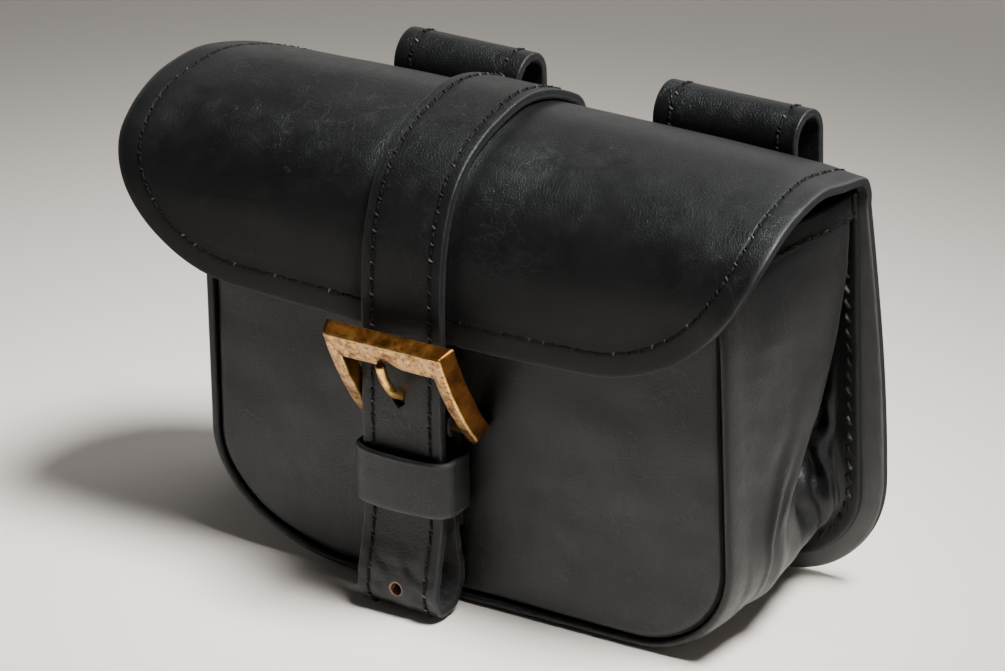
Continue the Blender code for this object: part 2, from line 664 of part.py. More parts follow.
def buckle_frame(mat):
    """Buckle frame: top bar and two side bars with rounded heel ends, and the thin heel bar between them."""
    round_end = SIDE_BAR / 2
    top = BUCKLE_LENGTH - round_end
    under = buckle_under()
    window = BUCKLE_WIDTH / 2 - SIDE_BAR
    notch = arc((STRAP_X - BUCKLE_X, under), NOTCH_WIDTH / 2, NOTCH_DEPTH, 180, 0, 6)
    share = np.linspace(0.0, 1.0, BAR_STEPS + 1)
    close = np.radians(np.linspace(60.0, 0.0, BAR_STEPS - 1)[:-1])
    corners = []
    for out, slant in ((BUCKLE_THICK / 2, BUCKLE_SLANT), (-BUCKLE_THICK / 2, 0.0)):
        half = BUCKLE_WIDTH / 2 - slant
        middle, wide = (half + window) / 2, (half - window) / 2
        down = -round_end * np.sin(close)
        left_inner = np.vstack([np.column_stack([wide * np.cos(close) - middle, down]),
                                np.column_stack([np.full(len(share), -window), under * share])])
        left_outer = np.vstack([np.column_stack([-wide * np.cos(close) - middle, down]),
                                np.column_stack([np.full(len(share), -half), top * share])])
        inner = np.vstack([left_inner, notch, left_inner[::-1] * [-1, 1]])
        above = np.column_stack([notch[:, 0], np.full(len(notch), top)])
        outer = np.vstack([left_outer, above, left_outer[::-1] * [-1, 1]])
        level = np.full(len(inner), out)
        corners.append((np.column_stack([inner, level]), np.column_stack([outer, level])))
    (front_in, front_out), (back_in, back_out) = corners
    square = [front_in, front_out, back_out, back_in]
    section = []
    for k, corner in enumerate(square):
        for other in (square[k - 1], square[(k + 1) % 4]):
            side = other - corner
            section.append(corner + side / np.linalg.norm(side, axis=1)[:, None] * BUCKLE_EDGE)
    rings = np.stack([buckle_place(points) for points in section], axis=1)
    item = closed_loft("buckle_frame", rings, mat)
    reach = BUCKLE_WIDTH / 2 - round_end
    circle = arc((heel_y(), HEEL_Z), HEEL_BAR / 2, HEEL_BAR / 2, 12, 372, 14)[:-1]
    ends = [np.column_stack([np.full(len(circle), BUCKLE_X + x), circle]) for x in (-reach, reach)]
    bar = closed_loft("heel_bar_guide", ends, mat)
    bar.hide_render = True
    bar.display_type = "WIRE"
    join = item.modifiers.new("heel_bar", "BOOLEAN")
    join.operation = "UNION"
    join.solver = "EXACT"
    join.object = bar
    return item


def buckle_prong(mat):
    """Prong: an eye round the heel bar, then through the strap's hole and up to the notch."""
    y, z = heel_y(), HEEL_Z
    ring = HEEL_BAR / 2 + FIT_GAP + EYE_THICK / 2
    eye = arc((y, z), ring, ring, PRONG["start"], PRONG["end"], EYE_STEPS)
    run = strap_run()
    under = buckle_under()
    tip = buckle_place([[0.0, under + NOTCH_DEPTH - 2 * FIT_GAP, PRONG["tip"] * BUCKLE_THICK]])[0]
    near = buckle_place([[0.0, under - 2 * PRONG_THICK, PRONG["lift"] * BUCKLE_THICK]])[0]
    rise = HEEL_Z + PRONG_HOLE_RISE
    rest = [
        [y - PRONG["out"] * (y - run), z + ring + PRONG["up"] * (rise - z - ring)],
        [run, rise],
        [near[1], near[2]],
        [tip[1], tip[2]],
    ]
    line = np.vstack([eye[:-1], smooth_path(np.vstack([eye[-1:], rest]), 4)])
    along = lengths(line)
    eye_length = along[len(eye) - 1]
    swell = np.clip((along - eye_length) / (2 * PRONG_THICK), 0, 1)
    radius = EYE_THICK / 2 + (PRONG_THICK - EYE_THICK) / 2 * swell
    normal = path_normals(line)
    angles = np.radians(np.linspace(0, 360, PRONG_SIDES + 1)[:-1])
    rings = []
    for point, direction, size in zip(line, normal, radius):
        x = STRAP_X + size * np.cos(angles)
        side = size * np.sin(angles)
        rings.append(np.column_stack([x, point[0] + direction[0] * side, point[1] + direction[1] * side]))
    return closed_loft("buckle_prong", rings, mat)


def buckle_chape(mat, guide):
    """Chape: a strip from the front panel up round the heel bar, slotted for the prong's eye."""
    y, z = heel_y(), HEEL_Z
    plate = -BODY_DEPTH - FIT_GAP - CHAPE_THICK / 2
    ring = HEEL_BAR / 2 + FIT_GAP + CHAPE_THICK / 2
    wrap = arc((y, z), ring, ring, 0, CHAPE_WRAP, EYE_STEPS)
    start = [[plate, CHAPE_END], [plate, KEEPER_BOTTOM], [plate, KEEPER_BOTTOM + KEEPER_HEIGHT]]
    rise = smooth_path(np.vstack([start, wrap[:1]]), 3)
    line = np.vstack([rise[:-1], wrap])
    item = band("buckle_chape", line, path_normals(line), CHAPE_THICK,
                STRAP_X - CHAPE_WIDTH / 2, STRAP_X + CHAPE_WIDTH / 2, mat)
    room = HEEL_BAR + 2 * EYE_THICK + 4 * FIT_GAP
    slot = cutter("cut_chape_slot", slot_outline(CHAPE_SLOT, room + CHAPE_SLOT / 2), 3 * room,
                  (STRAP_X, y, z), guide)
    add_cut(item, slot)
    return item


def keeper_loop(mat):
    """Keeper: a plain band round both layers of the strap, its back wall on the chape."""
    half = STRAP_WIDTH / 2 + FIT_GAP
    front = strap_run() - STRAP_THICK / 2 - FIT_GAP
    back = strap_back_layer() + STRAP_THICK / 2 + FIT_GAP
    turn = KEEPER_ROUND - KEEPER_WALL
    inner_corners = [(half, back, 0.0), (-half, back, 0.0), (-half, front, turn), (half, front, turn)]
    inner = rounded(inner_corners, 0.0)
    outer = rounded(inner_corners, KEEPER_WALL, KEEPER_BACK_WALL)
    low, high = KEEPER_BOTTOM, KEEPER_BOTTOM + KEEPER_HEIGHT
    rings = []
    for a, b in zip(outer, inner):
        rings.append([(a[0] + STRAP_X, a[1], low), (a[0] + STRAP_X, a[1], high),
                      (b[0] + STRAP_X, b[1], high), (b[0] + STRAP_X, b[1], low)])
    return closed_ring("keeper_loop", rings, mat)


def rounded(corners, grow, grow_back=None):
    """A closed outline through four corners, grown outwards, with round front corners."""
    grow_back = grow if grow_back is None else grow_back
    (right, back, _), (left, _, _), (_, front, turn), _ = corners
    right, left = right + grow, left - grow
    back = back + grow_back
    front = front - grow
    radius = turn + grow
    front_left = arc((left + radius, front + radius), radius, radius, 180, 270, 5)
    front_right = arc((right - radius, front + radius), radius, radius, 270, 360, 5)
    return np.vstack([[[right, back], [left, back]], front_left, front_right])


def belt_loop(name, middle, width, top, mat):
    """Belt loop: a strip up the back, folded over at the top, both leaves sewn down low on the back."""
    front = BACK_WALL + FIT_GAP + LOOP_WALL / 2
    ring = LOOP_ROUND - LOOP_WALL / 2
    centre = (front + ring, top - LOOP_ROUND)
    fold = arc(centre, ring, ring, 180, 0, 12)
    rear = front + 2 * ring
    together = front + LOOP_WALL + FIT_GAP
    drop = centre[1] - LOOP_JOINT
    leaf = [[together + (rear - together) * row["out"], LOOP_JOINT + drop * row["height"]]
            for row in LOOP_LEAF]
    end = [[together, (LOOP_JOINT + LOOP_BOTTOM) / 2], [together, LOOP_BOTTOM]]
    lower = smooth_path(np.vstack([fold[-1:], leaf, end]), SPLINE_STEPS)
    line = np.vstack([[[front, LOOP_BOTTOM]], fold[:-1], lower])
    return band(name, line, path_normals(line), LOOP_WALL, middle - width / 2, middle + width / 2, mat)


def settle_origin():
    """Move every object so that the origin is at the middle of the bottom of the pouch's box."""
    items = [item for item in bpy.data.objects if item.type == "MESH"]
    corners = np.array([tuple(v.co) for item in items if not item.hide_render for v in item.data.vertices])
    low, high = corners.min(axis=0), corners.max(axis=0)
    for item in items:
        item.location = (-(low[0] + high[0]) / 2, -(low[1] + high[1]) / 2, -low[2])


def main():
    clear_scene()
    leather = material("black leather", (0.026, 0.026, 0.028), 0.42)
    strap_leather = material("black strap leather", (0.020, 0.020, 0.021), 0.48)
    brass = material("antique brass", (0.42, 0.23, 0.09), 0.38, 0.9)
    guide = material("guide", (0.8, 0.1, 0.1), 0.9)
    back_and_flap(leather)
    front_panel(leather)
    gusset(leather)
    closing_strap(strap_leather, guide)
    buckle_frame(brass)
    buckle_prong(brass)
    buckle_chape(strap_leather, guide)
    keeper_loop(strap_leather)
    for row in BELT_LOOPS:
        middle = row["side"] * LOOP_SPACING / 2 + LOOP_SHIFT
        belt_loop(row["name"], middle, row["width"] * LOOP_WIDTH, row["height"] * LOOP_TOP, strap_leather)
    settle_origin()


main()
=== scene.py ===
"""Dressed model of a black leather belt pouch: flap, gusset, closing strap, brass buckle and belt loops.

Every leather piece is a sheet worked out on a grid of two parameters and given its thickness, every
stitch lies on the surface that it sews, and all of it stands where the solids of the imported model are.
Lengths are in millimetres until a mesh is made, and in metres in the finishes, the light and the camera.
"""

import math

import bmesh
import bpy
import numpy as np
from mathutils import Matrix, Vector


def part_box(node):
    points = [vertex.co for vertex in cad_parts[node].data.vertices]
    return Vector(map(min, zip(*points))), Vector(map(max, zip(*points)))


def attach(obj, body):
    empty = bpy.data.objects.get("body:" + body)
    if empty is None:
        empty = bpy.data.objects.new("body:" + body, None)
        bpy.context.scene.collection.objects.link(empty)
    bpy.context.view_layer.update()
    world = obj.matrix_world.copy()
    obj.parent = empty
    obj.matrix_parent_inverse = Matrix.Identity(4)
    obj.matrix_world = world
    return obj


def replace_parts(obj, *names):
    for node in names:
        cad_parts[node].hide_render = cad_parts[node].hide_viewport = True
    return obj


MM = 0.001

# Sizes of the solids
FIT_GAP = 0.3
BODY_WIDTH = 176.5
BODY_DEPTH = 68.0
BODY_HEIGHT = 128.5
CORNER_WIDTH = 50.0
CORNER_HEIGHT = 35.0
RIGHT_CORNER_WIDTH = 31.0
RIGHT_CORNER_HEIGHT = 29.0
RIGHT_LEAN = 2.0
FRONT_WALL = 2.4
FRONT_TOP_DROP = 9.0
FRONT_RIM_DEPTH = 6.5
FRONT_RIM_ROUND = 3.2
GUSSET_WALL = 1.5
ROLL_WIDTH = 3.4
ROLL_LENGTH = 8.0
ROLL_PROUD = 0.3
ROLL_TURN = 0.6
SIDE_FLARE = 1.5
SIDE_STEP = 1.7                    # between stations down the gusset's sides
BOTTOM_RISE = 8.5
FLANGE_WIDTH = 8.0
PLEAT_DEPTH = 15.0
CREASE_BULGE = 2.6
GUSSET_FRONT_DROP = 8.0
BACK_WALL = 3.0
BACK_WIDTH = 213.5
WAIST_WIDTH = 201.0
FLAP_WIDTH = 223.5
FLAP_SHIFT = -7.3
BACK_CORNER = 37.0
BEND_START = 127.0
FLAP_TOP = 149.0
FLAP_DROOP = 2.8
FLAP_REACH = 77.2
FLAP_EDGE = 90.0
FLAP_CORNER_HEIGHT = 46.0
FLAP_CORNER_WIDTH = 46.0
FLAP_PULL = 11.0
FLAP_EDGE_BOW = 5.0
STRAP_WIDTH = 28.0
STRAP_THICK = 3.2
STRAP_X = -12.4
STRAP_STAND_OFF = 1.0
TAIL_TOP = 51.0
TAIL_BOTTOM = 1.0
PRONG_HOLE_WIDTH = 4.2
PRONG_HOLE_HEIGHT = 5.4
PRONG_HOLE_RISE = 10.5
SPARE_HOLE = 4.0
SPARE_HOLE_Z = 9.8
BUCKLE_X = -10.9
BUCKLE_WIDTH = 44.6
BUCKLE_LENGTH = 41.4
BUCKLE_THICK = 6.0
BUCKLE_SLANT = 2.0
TOP_BAR = 9.0
SIDE_BAR = 6.2
BUCKLE_BEND = 18.0                 # degrees
BUCKLE_CLEAR = 3.6
HEEL_BAR = 3.6
HEEL_BAR_BACK = 0.1
HEEL_Z = 61.5
NOTCH_LEFT = 2.4
NOTCH_RIGHT = 7.5
NOTCH_DEPTH = 2.7
NOTCH_SHIFT = 0.7
PRONG_THICK = 3.0
EYE_THICK = 2.0
CHAPE_WIDTH = 26.0
CHAPE_THICK = 1.6
CHAPE_END = 27.0
CHAPE_SLOT = 6.0
CHAPE_WRAP = 250.0                 # degrees
KEEPER_HEIGHT = 17.0
KEEPER_BOTTOM = 35.0
KEEPER_WALL = 2.0
KEEPER_BACK_WALL = 1.5
LOOP_WIDTH = 49.0
LOOP_SPACING = 94.4
LOOP_SHIFT = 2.3
LOOP_WALL = 2.8
LOOP_TOP = 147.0
LOOP_ROUND = 9.2
LOOP_BOTTOM = 42.0
LOOP_JOINT = 60.0

# Side view of the flap's outside: share of FLAP_REACH, share of the height from FLAP_EDGE to FLAP_TOP
FLAP_PROFILE = np.array([
    (0.000, 0.805), (0.060, 0.860), (0.170, 0.930), (0.290, 0.980), (0.410, 1.000), (0.545, 0.980),
    (0.680, 0.937), (0.800, 0.862), (0.892, 0.748), (0.948, 0.602), (0.980, 0.440), (0.995, 0.260),
    (1.000, 0.115), (1.000, 0.000),
])
SHOULDER = (0.93, 0.45)

# Flap's half width: share of the way from the bend to the corners, share of the widening
FLAP_SIDES = np.array([(0.0, 0.0), (0.15, 0.10), (0.35, 0.48), (0.55, 0.80), (0.80, 0.98), (1.0, 1.0)])

# Section of the flap's border: distance from the cut edge and depth under the outside
BORDER = 12.0
FLAP_SECTION = np.array([
    (10.6, 0.0), (9.2, 0.0), (8.7, 0.02), (8.45, 0.08), (8.22, 0.20), (8.0, 0.26), (7.78, 0.20), (7.55, 0.08),
    (7.3, 0.02), (6.4, 0.0), (5.0, 0.0), (3.4, 0.0), (2.0, 0.01), (1.1, 0.03), (0.6, 0.08), (0.28, 0.18),
    (0.10, 0.34), (0.02, 0.56), (0.0, 0.9), (0.0, 1.5), (0.0, 2.1), (0.03, 2.5), (0.16, 2.8), (0.45, 2.95),
    (1.0, 3.0), (4.5, 3.0), (8.0, 3.0),
])

# Side's crease: share of BODY_HEIGHT, share of BODY_DEPTH before the back, share of CREASE_BULGE that it
# stands out, share of PLEAT_DEPTH behind it
PLEAT = np.array([
    (0.18, 0.62, 1.0, 0.00), (0.30, 0.62, 1.0, 0.55), (0.42, 0.48, 1.0, 0.95), (0.56, 0.29, 1.2, 1.00),
    (0.70, 0.18, 1.6, 0.75), (0.84, 0.11, 1.9, 0.40), (1.00, 0.07, 2.0, 0.10),
])
WALL_BULGE = 0.6
WALL_FOLD = 0.30
WALL_FALL = 0.6

# Bumps of the gusset: height, place and width along its section, place and width up the side
GUSSET_BUMPS = [
    (0.9, 1.30, 0.16, 0.30, 0.13), (-0.8, 1.62, 0.15, 0.34, 0.20), (3.2, 3.75, 0.42, 0.255, 0.075),
]

# Strap's tail: share of the way from the front panel to the straight run, share of KEEPER_BOTTOM
TAIL = np.array([
    (1.00, 1.00), (1.14, 0.72), (1.36, 0.46), (1.46, 0.26), (1.32, 0.12), (1.00, 0.07), (0.62, 0.10),
    (0.32, 0.22), (0.24, 0.40), (0.40, 0.66),
])

# Prong: its eye's first and last angle, the place of its lead as shares of the way to the strap's slot, and
# its points before the strap, out from the strap's middle and up from the middle of its slot
PRONG = {"start": 205.0, "end": 450.0, "out": 0.45, "up": 0.25}
PRONG_PATH = np.array([(0.0, -0.6), (5.4, 2.8), (10.0, 8.8), (12.3, 14.6)])

# Belt loop's rear leaf below its fold: share of the way out behind the front leaf, share of the height
# from LOOP_JOINT to the fold
LOOP_LEAF = np.array([(0.99, 0.78), (0.82, 0.52), (0.40, 0.22), (0.02, 0.02)])
BELT_LOOPS = [
    {"name": "belt_loop_left", "side": -1, "width": 0.912, "height": 0.992},
    {"name": "belt_loop_right", "side": 1, "width": 1.000, "height": 1.000},
]

# Sewing: a seam's distance is taken from the piece's edge
STITCH_PITCH = 4.8
STITCH_LENGTH = 4.1
THREAD = 0.50                      # radius
KNOT = 0.34                        # radius of the short thread that shows at each hole
FLANGE_THREAD = 0.70
FLAP_SEAM = 8.0
STRAP_SEAM = 4.0
LOOP_SEAM = 6.0
HEM_PITCH = 3.6
HEM_SEAM = 7.0
HEM_LINE = HEM_SEAM - 0.6
HEM_THICKER = 0.28
GROOVE = 0.26                      # leather pulled down along a seam

# Camera: the photograph's view, in the frame of the solids
IMAGE_WIDTH, IMAGE_HEIGHT = 1005, 671
VIEW_AZIMUTH, VIEW_ELEVATION, VIEW_ROLL = 32.0, 25.0, -1.1
FOCAL_PIXELS = 6000.0
PIXELS_PER_METRE = 3300.0
TARGET_PIXEL = (465.0, 602.0)
SENSOR = 36.0

# Sky's brightness along an axis that leans to the front, and lamps: name, place, width, power and the
# cone in degrees
SKY_AXIS = (0.0, -0.35, 1.0)
SKY = [(0.0, 0.78), (0.15, 0.72), (0.36, 0.18), (0.60, 0.03), (1.0, 0.025)]
LAMPS = [
    ("rear light", (0.25, 1.05, 1.15), 1.0, 5.0, 0.0),
    ("key light", (0.42, 0.0, 1.05), 0.5, 262.0, 28.0),
]
LAMP_AIM = (0, -0.03, 0.03)
FLOOR_HALF = 6.0

# Distances from a cut edge at which a sheet has extra points
EDGE_STEPS = np.array([0.0, 0.04, 0.14, 0.32, 0.6, 1.0, 1.7])
EDGE_ROUND = 1.1
STRIP_ROUND = 0.6

# Places along Y that several pieces share
STRAP_RUN = -(FLAP_REACH + FIT_GAP + STRAP_THICK / 2 + STRAP_STAND_OFF)
STRAP_BACK = -BODY_DEPTH - CHAPE_THICK - KEEPER_BACK_WALL - 3 * FIT_GAP - STRAP_THICK / 2
HEEL_Y = -BODY_DEPTH - 2 * FIT_GAP - EYE_THICK - HEEL_BAR / 2

# Height of the top bar's lower edge up the buckle's face, from the heel bar
BUCKLE_UNDER = BUCKLE_LENGTH - SIDE_BAR / 2 - TOP_BAR

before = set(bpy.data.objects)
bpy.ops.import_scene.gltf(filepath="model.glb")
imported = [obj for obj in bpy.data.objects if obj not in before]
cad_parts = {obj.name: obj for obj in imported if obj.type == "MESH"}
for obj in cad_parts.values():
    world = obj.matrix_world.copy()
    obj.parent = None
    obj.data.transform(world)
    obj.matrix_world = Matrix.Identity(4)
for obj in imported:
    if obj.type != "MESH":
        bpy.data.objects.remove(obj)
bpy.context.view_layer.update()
strap_low, strap_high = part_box("closing_strap")

# Where the measurements' zero lies: the middle of the body's rear face on the ground, found from two solids
strap_and_front = ((strap_low.x + strap_high.x) / 2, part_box("front_panel")[0].y, 0.0)
ORIGIN = np.array(strap_and_front) / MM - (STRAP_X, -BODY_DEPTH, 0)
chance = np.random.default_rng(7)


def points_of(*coordinates):
    """Points from their coordinates: numbers, or arrays that fit each other."""
    return np.stack(np.broadcast_arrays(*coordinates), axis=-1)


def curve_through(points, place):
    """Catmull-Rom curve through points, read at places counted in points.

    Between b and c, with neighbours a and d, it is
    (2b + (c - a) t + (2a - 5b + 4c - d) t^2 + (3b - a - 3c + d) t^3) / 2 for t from 0 to 1.
    The points lie along the axis before the last, so many curves can be worked out together.
    """
    first = 2 * points[..., :1, :] - points[..., 1:2, :]
    last = 2 * points[..., -1:, :] - points[..., -2:-1, :]
    padded = np.concatenate([first, points, last], axis=-2)
    start = np.clip(place.astype(int), 0, points.shape[-2] - 2)
    t = (place - start)[:, None]
    a, b, c, d = (padded[..., start + k, :] for k in range(4))
    return (2 * b + (c - a) * t + (2 * a - 5 * b + 4 * c - d) * t ** 2 + (3 * b - a - 3 * c + d) * t ** 3) / 2


def dense_curve(points, steps=24):
    """The same curve with a number of steps between two of its points."""
    count = len(points) - 1
    return curve_through(points, np.linspace(0, count, count * steps + 1))


def lengths(path):
    """Distance along a path at each of its points."""
    return np.concatenate([[0.0], np.cumsum(np.linalg.norm(np.diff(path, axis=0), axis=1))])


def read_along(path, values, stations):
    """Values kept at the points of a path, read at distances along it."""
    along = lengths(path)
    return np.column_stack([np.interp(stations, along, column) for column in values.T])


def walk(path, stations):
    """Points of a path at distances along it."""
    return read_along(path, path, stations)


def unit(vectors):
    """The same directions with length 1."""
    return vectors / np.maximum(np.linalg.norm(vectors, axis=-1, keepdims=True), 1e-12)


def left_of(path):
    """Unit normals of plane paths to the left of their direction: (-b, a) for a direction (a, b)."""
    direction = unit(np.gradient(path, axis=-2))
    return points_of(-direction[..., 1], direction[..., 0])


def left_of_ring(ring):
    """The same for a closed ring of points."""
    direction = unit(np.roll(ring, -1, axis=0) - np.roll(ring, 1, axis=0))
    return points_of(-direction[:, 1], direction[:, 0])


def arc(centre, radii, start, end, steps):
    """Points on an arc of a circle or of an ellipse, in degrees, both ends included."""
    angle = np.radians(np.linspace(start, end, steps + 1))
    return points_of(np.cos(angle), np.sin(angle)) * radii + centre


def spaced(low, high, step):
    """Even places from low to high, with extra ones close to both ends."""
    last = EDGE_STEPS[-1]
    inner = np.linspace(low + last, high - last, max(2, int(round((high - low - 2 * last) / step)) + 1))
    return np.concatenate([low + EDGE_STEPS[:-1], inner, high - EDGE_STEPS[-2::-1]])


def round_edge(distance, radius=EDGE_ROUND):
    """Share of the full thickness at a distance from a cut edge: (1 - (1 - d/r)^2.4)^(1/2.4)."""
    inside = 1 - np.clip(distance / radius, 0, 1)
    return (1 - inside ** 2.4) ** (1 / 2.4)


def bell(value, middle, width):
    """Smooth bump exp(-((v - m) / w)^2)."""
    return np.exp(-((value - middle) / width) ** 2)


def rise(value, low, high):
    """Smooth step from 0 at low to 1 at high, 3t^2 - 2t^3. With high below low it falls."""
    t = np.clip((value - low) / (high - low), 0, 1)
    return t * t * (3 - 2 * t)


def ripple(a, b, size, seed):
    """Uneven waves about as long as size over two coordinates: the mean of nine sines in fixed directions."""
    draw = np.random.default_rng(seed)
    total = 0.0
    for _ in range(9):
        turn, phase = draw.uniform(0, 2 * math.pi, 2)
        wave = 2 * math.pi / (size * draw.uniform(0.7, 1.6))
        total = total + np.sin(wave * (a * math.cos(turn) + b * math.sin(turn)) + phase)
    return total / 3


def numbered(shape, first=0):
    """Numbers of the points of a grid, row after row."""
    return first + np.arange(math.prod(shape)).reshape(shape)


def grid_quads(index):
    """Quads between the rows and columns of an array of vertex numbers."""
    return np.stack([index[:-1, :-1], index[:-1, 1:], index[1:, 1:], index[1:, :-1]], axis=-1).reshape(-1, 4)


def round_quads(index):
    """The same with the last column joined to the first."""
    return grid_quads(np.column_stack([index, index[:, :1]]))


def make_piece(name, vertices, faces, finish, marks=None):
    """A mesh object in the frame of the solids, with values kept on its points for its material."""
    mesh = bpy.data.meshes.new(name)
    mesh.from_pydata(((vertices + ORIGIN) * MM).tolist(), [], [list(face) for face in faces])
    for key, values in (marks or {}).items():
        layer = mesh.attributes.new(key, "FLOAT", "POINT")
        layer.data.foreach_set("value", np.ascontiguousarray(values, dtype=np.float32))
    work = bmesh.new()
    work.from_mesh(mesh)
    bmesh.ops.recalc_face_normals(work, faces=work.faces)
    work.to_mesh(mesh)
    work.free()
    mesh.shade_smooth()
    mesh.materials.append(finish)
    piece = bpy.data.objects.new(name, mesh)
    bpy.context.collection.objects.link(piece)
    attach(piece, "root")
    return piece


def sheet(name, middle, out, half, finish, wear=0.0, dark=0.0, closed=False):
    """A leather sheet: its middle surface moved along its outward normal both ways by half its thickness.

    The half thickness is 0 along the sheet's edge, where the grain side and the flesh side share
    their points. A closed sheet meets itself after its last row.
    """
    grain = middle + out * half[..., None]
    flesh = middle - out * half[..., None]
    first = numbered(half.shape)
    second = first.copy()
    inner = (slice(None) if closed else slice(1, -1), slice(1, -1))
    second[inner] = numbered(second[inner].shape, half.size)
    if closed:
        first, second = (np.vstack([side, side[:1]]) for side in (first, second))
    faces = np.vstack([grid_quads(first), grid_quads(second)[:, ::-1]])
    cut = np.clip(1.15 - half / half.max(), 0, 1)
    marks = {"wear": (wear, 0.0), "dark": (dark, 0.0), "raw": (0.0, 1.0), "cut": (cut, cut)}
    for key, values in marks.items():
        on_grain, on_flesh = (np.broadcast_to(value, half.shape) for value in values)
        marks[key] = np.concatenate([on_grain.ravel(), on_flesh[inner].ravel()])
    vertices = np.vstack([grain.reshape(-1, 3), flesh[inner].reshape(-1, 3)])
    return make_piece(name, vertices, faces, finish, marks)


def strip(name, line, out, thick, middle, width, finish, step=1.3, trim=None, marks_at=None):
    """A strip of leather whose side view (Y, Z) is a line, of a width about a middle X.

    The line is read at even distances with extra ones at its ends, and the columns crowd at both edges.
    Trim gives how much is cut off at the left and at the right at distances along the line, and
    marks_at gives the worn and painted-highlight mark, the dark and painted-shade mark, and the dents there.
    """
    low, high = middle - width / 2, middle + width / 2
    total = lengths(line)[-1]
    rows = spaced(0.0, total, step)
    columns = spaced(low, high, step)
    along = rows[:, None]
    x = columns + 0 * along
    if trim is not None:
        off_left, off_right = trim(along)
        x = low + off_left + (x - low) * (high - low - off_left - off_right) / (high - low)
    side = np.minimum(columns - low, high - columns)[None, :]
    tip = np.minimum(along, total - along)
    wear, dark, dent = marks_at(along, side, x) if marks_at else (0.0, 0.0, 0.0)
    facing = points_of(0 * x, *unit(read_along(line, out, rows)).T[..., None])
    surface = points_of(x, *walk(line, rows).T[..., None]) - facing * np.asarray(dent)[..., None]
    half = thick / 2 * round_edge(side, STRIP_ROUND) * round_edge(tip, STRIP_ROUND)
    wear = np.maximum(wear, 0.35 * bell(np.minimum(side, tip), 0.45, 0.3))
    return sheet(name, surface, facing, half, finish, wear, dark)


def stitches(name, path, out, finish, slant, pitch=STITCH_PITCH, length=STITCH_LENGTH, thick=THREAD,
             sunk=0.0, start=0.5):
    """Stitches along a path on a surface whose outward normals are given.

    Each is a thread arched between two holes: at t from -1 to 1 its middle is t * length / 2 ahead and
    (1 - t^2) of a rise up, and its radius falls to nothing at both ends. The slant turns it in the surface.
    """
    along = lengths(path)
    count = max(1, int(along[-1] / pitch))
    middle = (np.arange(count) + start) * along[-1] / count
    reach = 0.3 * length
    centre = walk(path, middle)
    before, after = (walk(path, np.clip(middle + step, 0, along[-1])) for step in (-reach, reach))
    ahead = unit(after - before)
    up = read_along(path, out, middle)
    up = unit(up - ahead * np.sum(up * ahead, axis=1, keepdims=True))
    side = np.cross(up, ahead)
    turn = np.radians(np.broadcast_to(slant, count) + chance.normal(0, 2.0, count))[:, None]
    ahead, side = ahead * np.cos(turn) + side * np.sin(turn), side * np.cos(turn) - ahead * np.sin(turn)
    t = np.array([-1.0, -0.93, -0.75, -0.4, 0.0, 0.4, 0.75, 0.93, 1.0])[:, None]
    radius = thick * np.sqrt(np.clip(1 - t ** 6, 0, 1))
    radius[[0, -1]] = 0.02 * thick
    arch = thick * (1.3 * (1 - t ** 2) - 0.75) - sunk
    angle = np.linspace(0, 2 * math.pi, 7)[:-1]
    local = points_of(t * length / 2, radius * np.cos(angle), arch + radius * np.sin(angle) * 0.85)
    points = centre[:, None, None, :] + local @ np.stack([ahead, side, up], axis=1)[:, None]
    index = numbered(local.shape[:2])
    first = (np.arange(count) * index.size)[:, None, None]
    tips = np.stack([index[0, ::-1], index[-1]]) + first
    faces = (round_quads(index) + first).reshape(-1, 4).tolist() + tips.reshape(-1, len(angle)).tolist()
    return make_piece(name, points.reshape(-1, 3), faces, finish)


def seam(name, path, out):
    """A seam: long dark stitches sunk in their groove, and at each hole a short pale thread, a painted
    highlight.
    """
    stitches(name, path, out, thread, 5.0, length=0.9 * STITCH_PITCH, sunk=0.10)
    stitches(name + "_knots", path, out, pale_thread, 58.0, length=1.75, thick=KNOT, sunk=-0.20, start=0.04)


def side_seams(name, line, out, thick, middle, width, inset):
    """Seams along both edges of a strip whose side view is a line."""
    outside = line + out * (thick / 2 - 0.12)
    for side, word in ((-1, "_left"), (1, "_right")):
        x = middle + side * (width / 2 - inset)
        seam(name + word, points_of(x, *outside.T), points_of(0.0, *out.T))


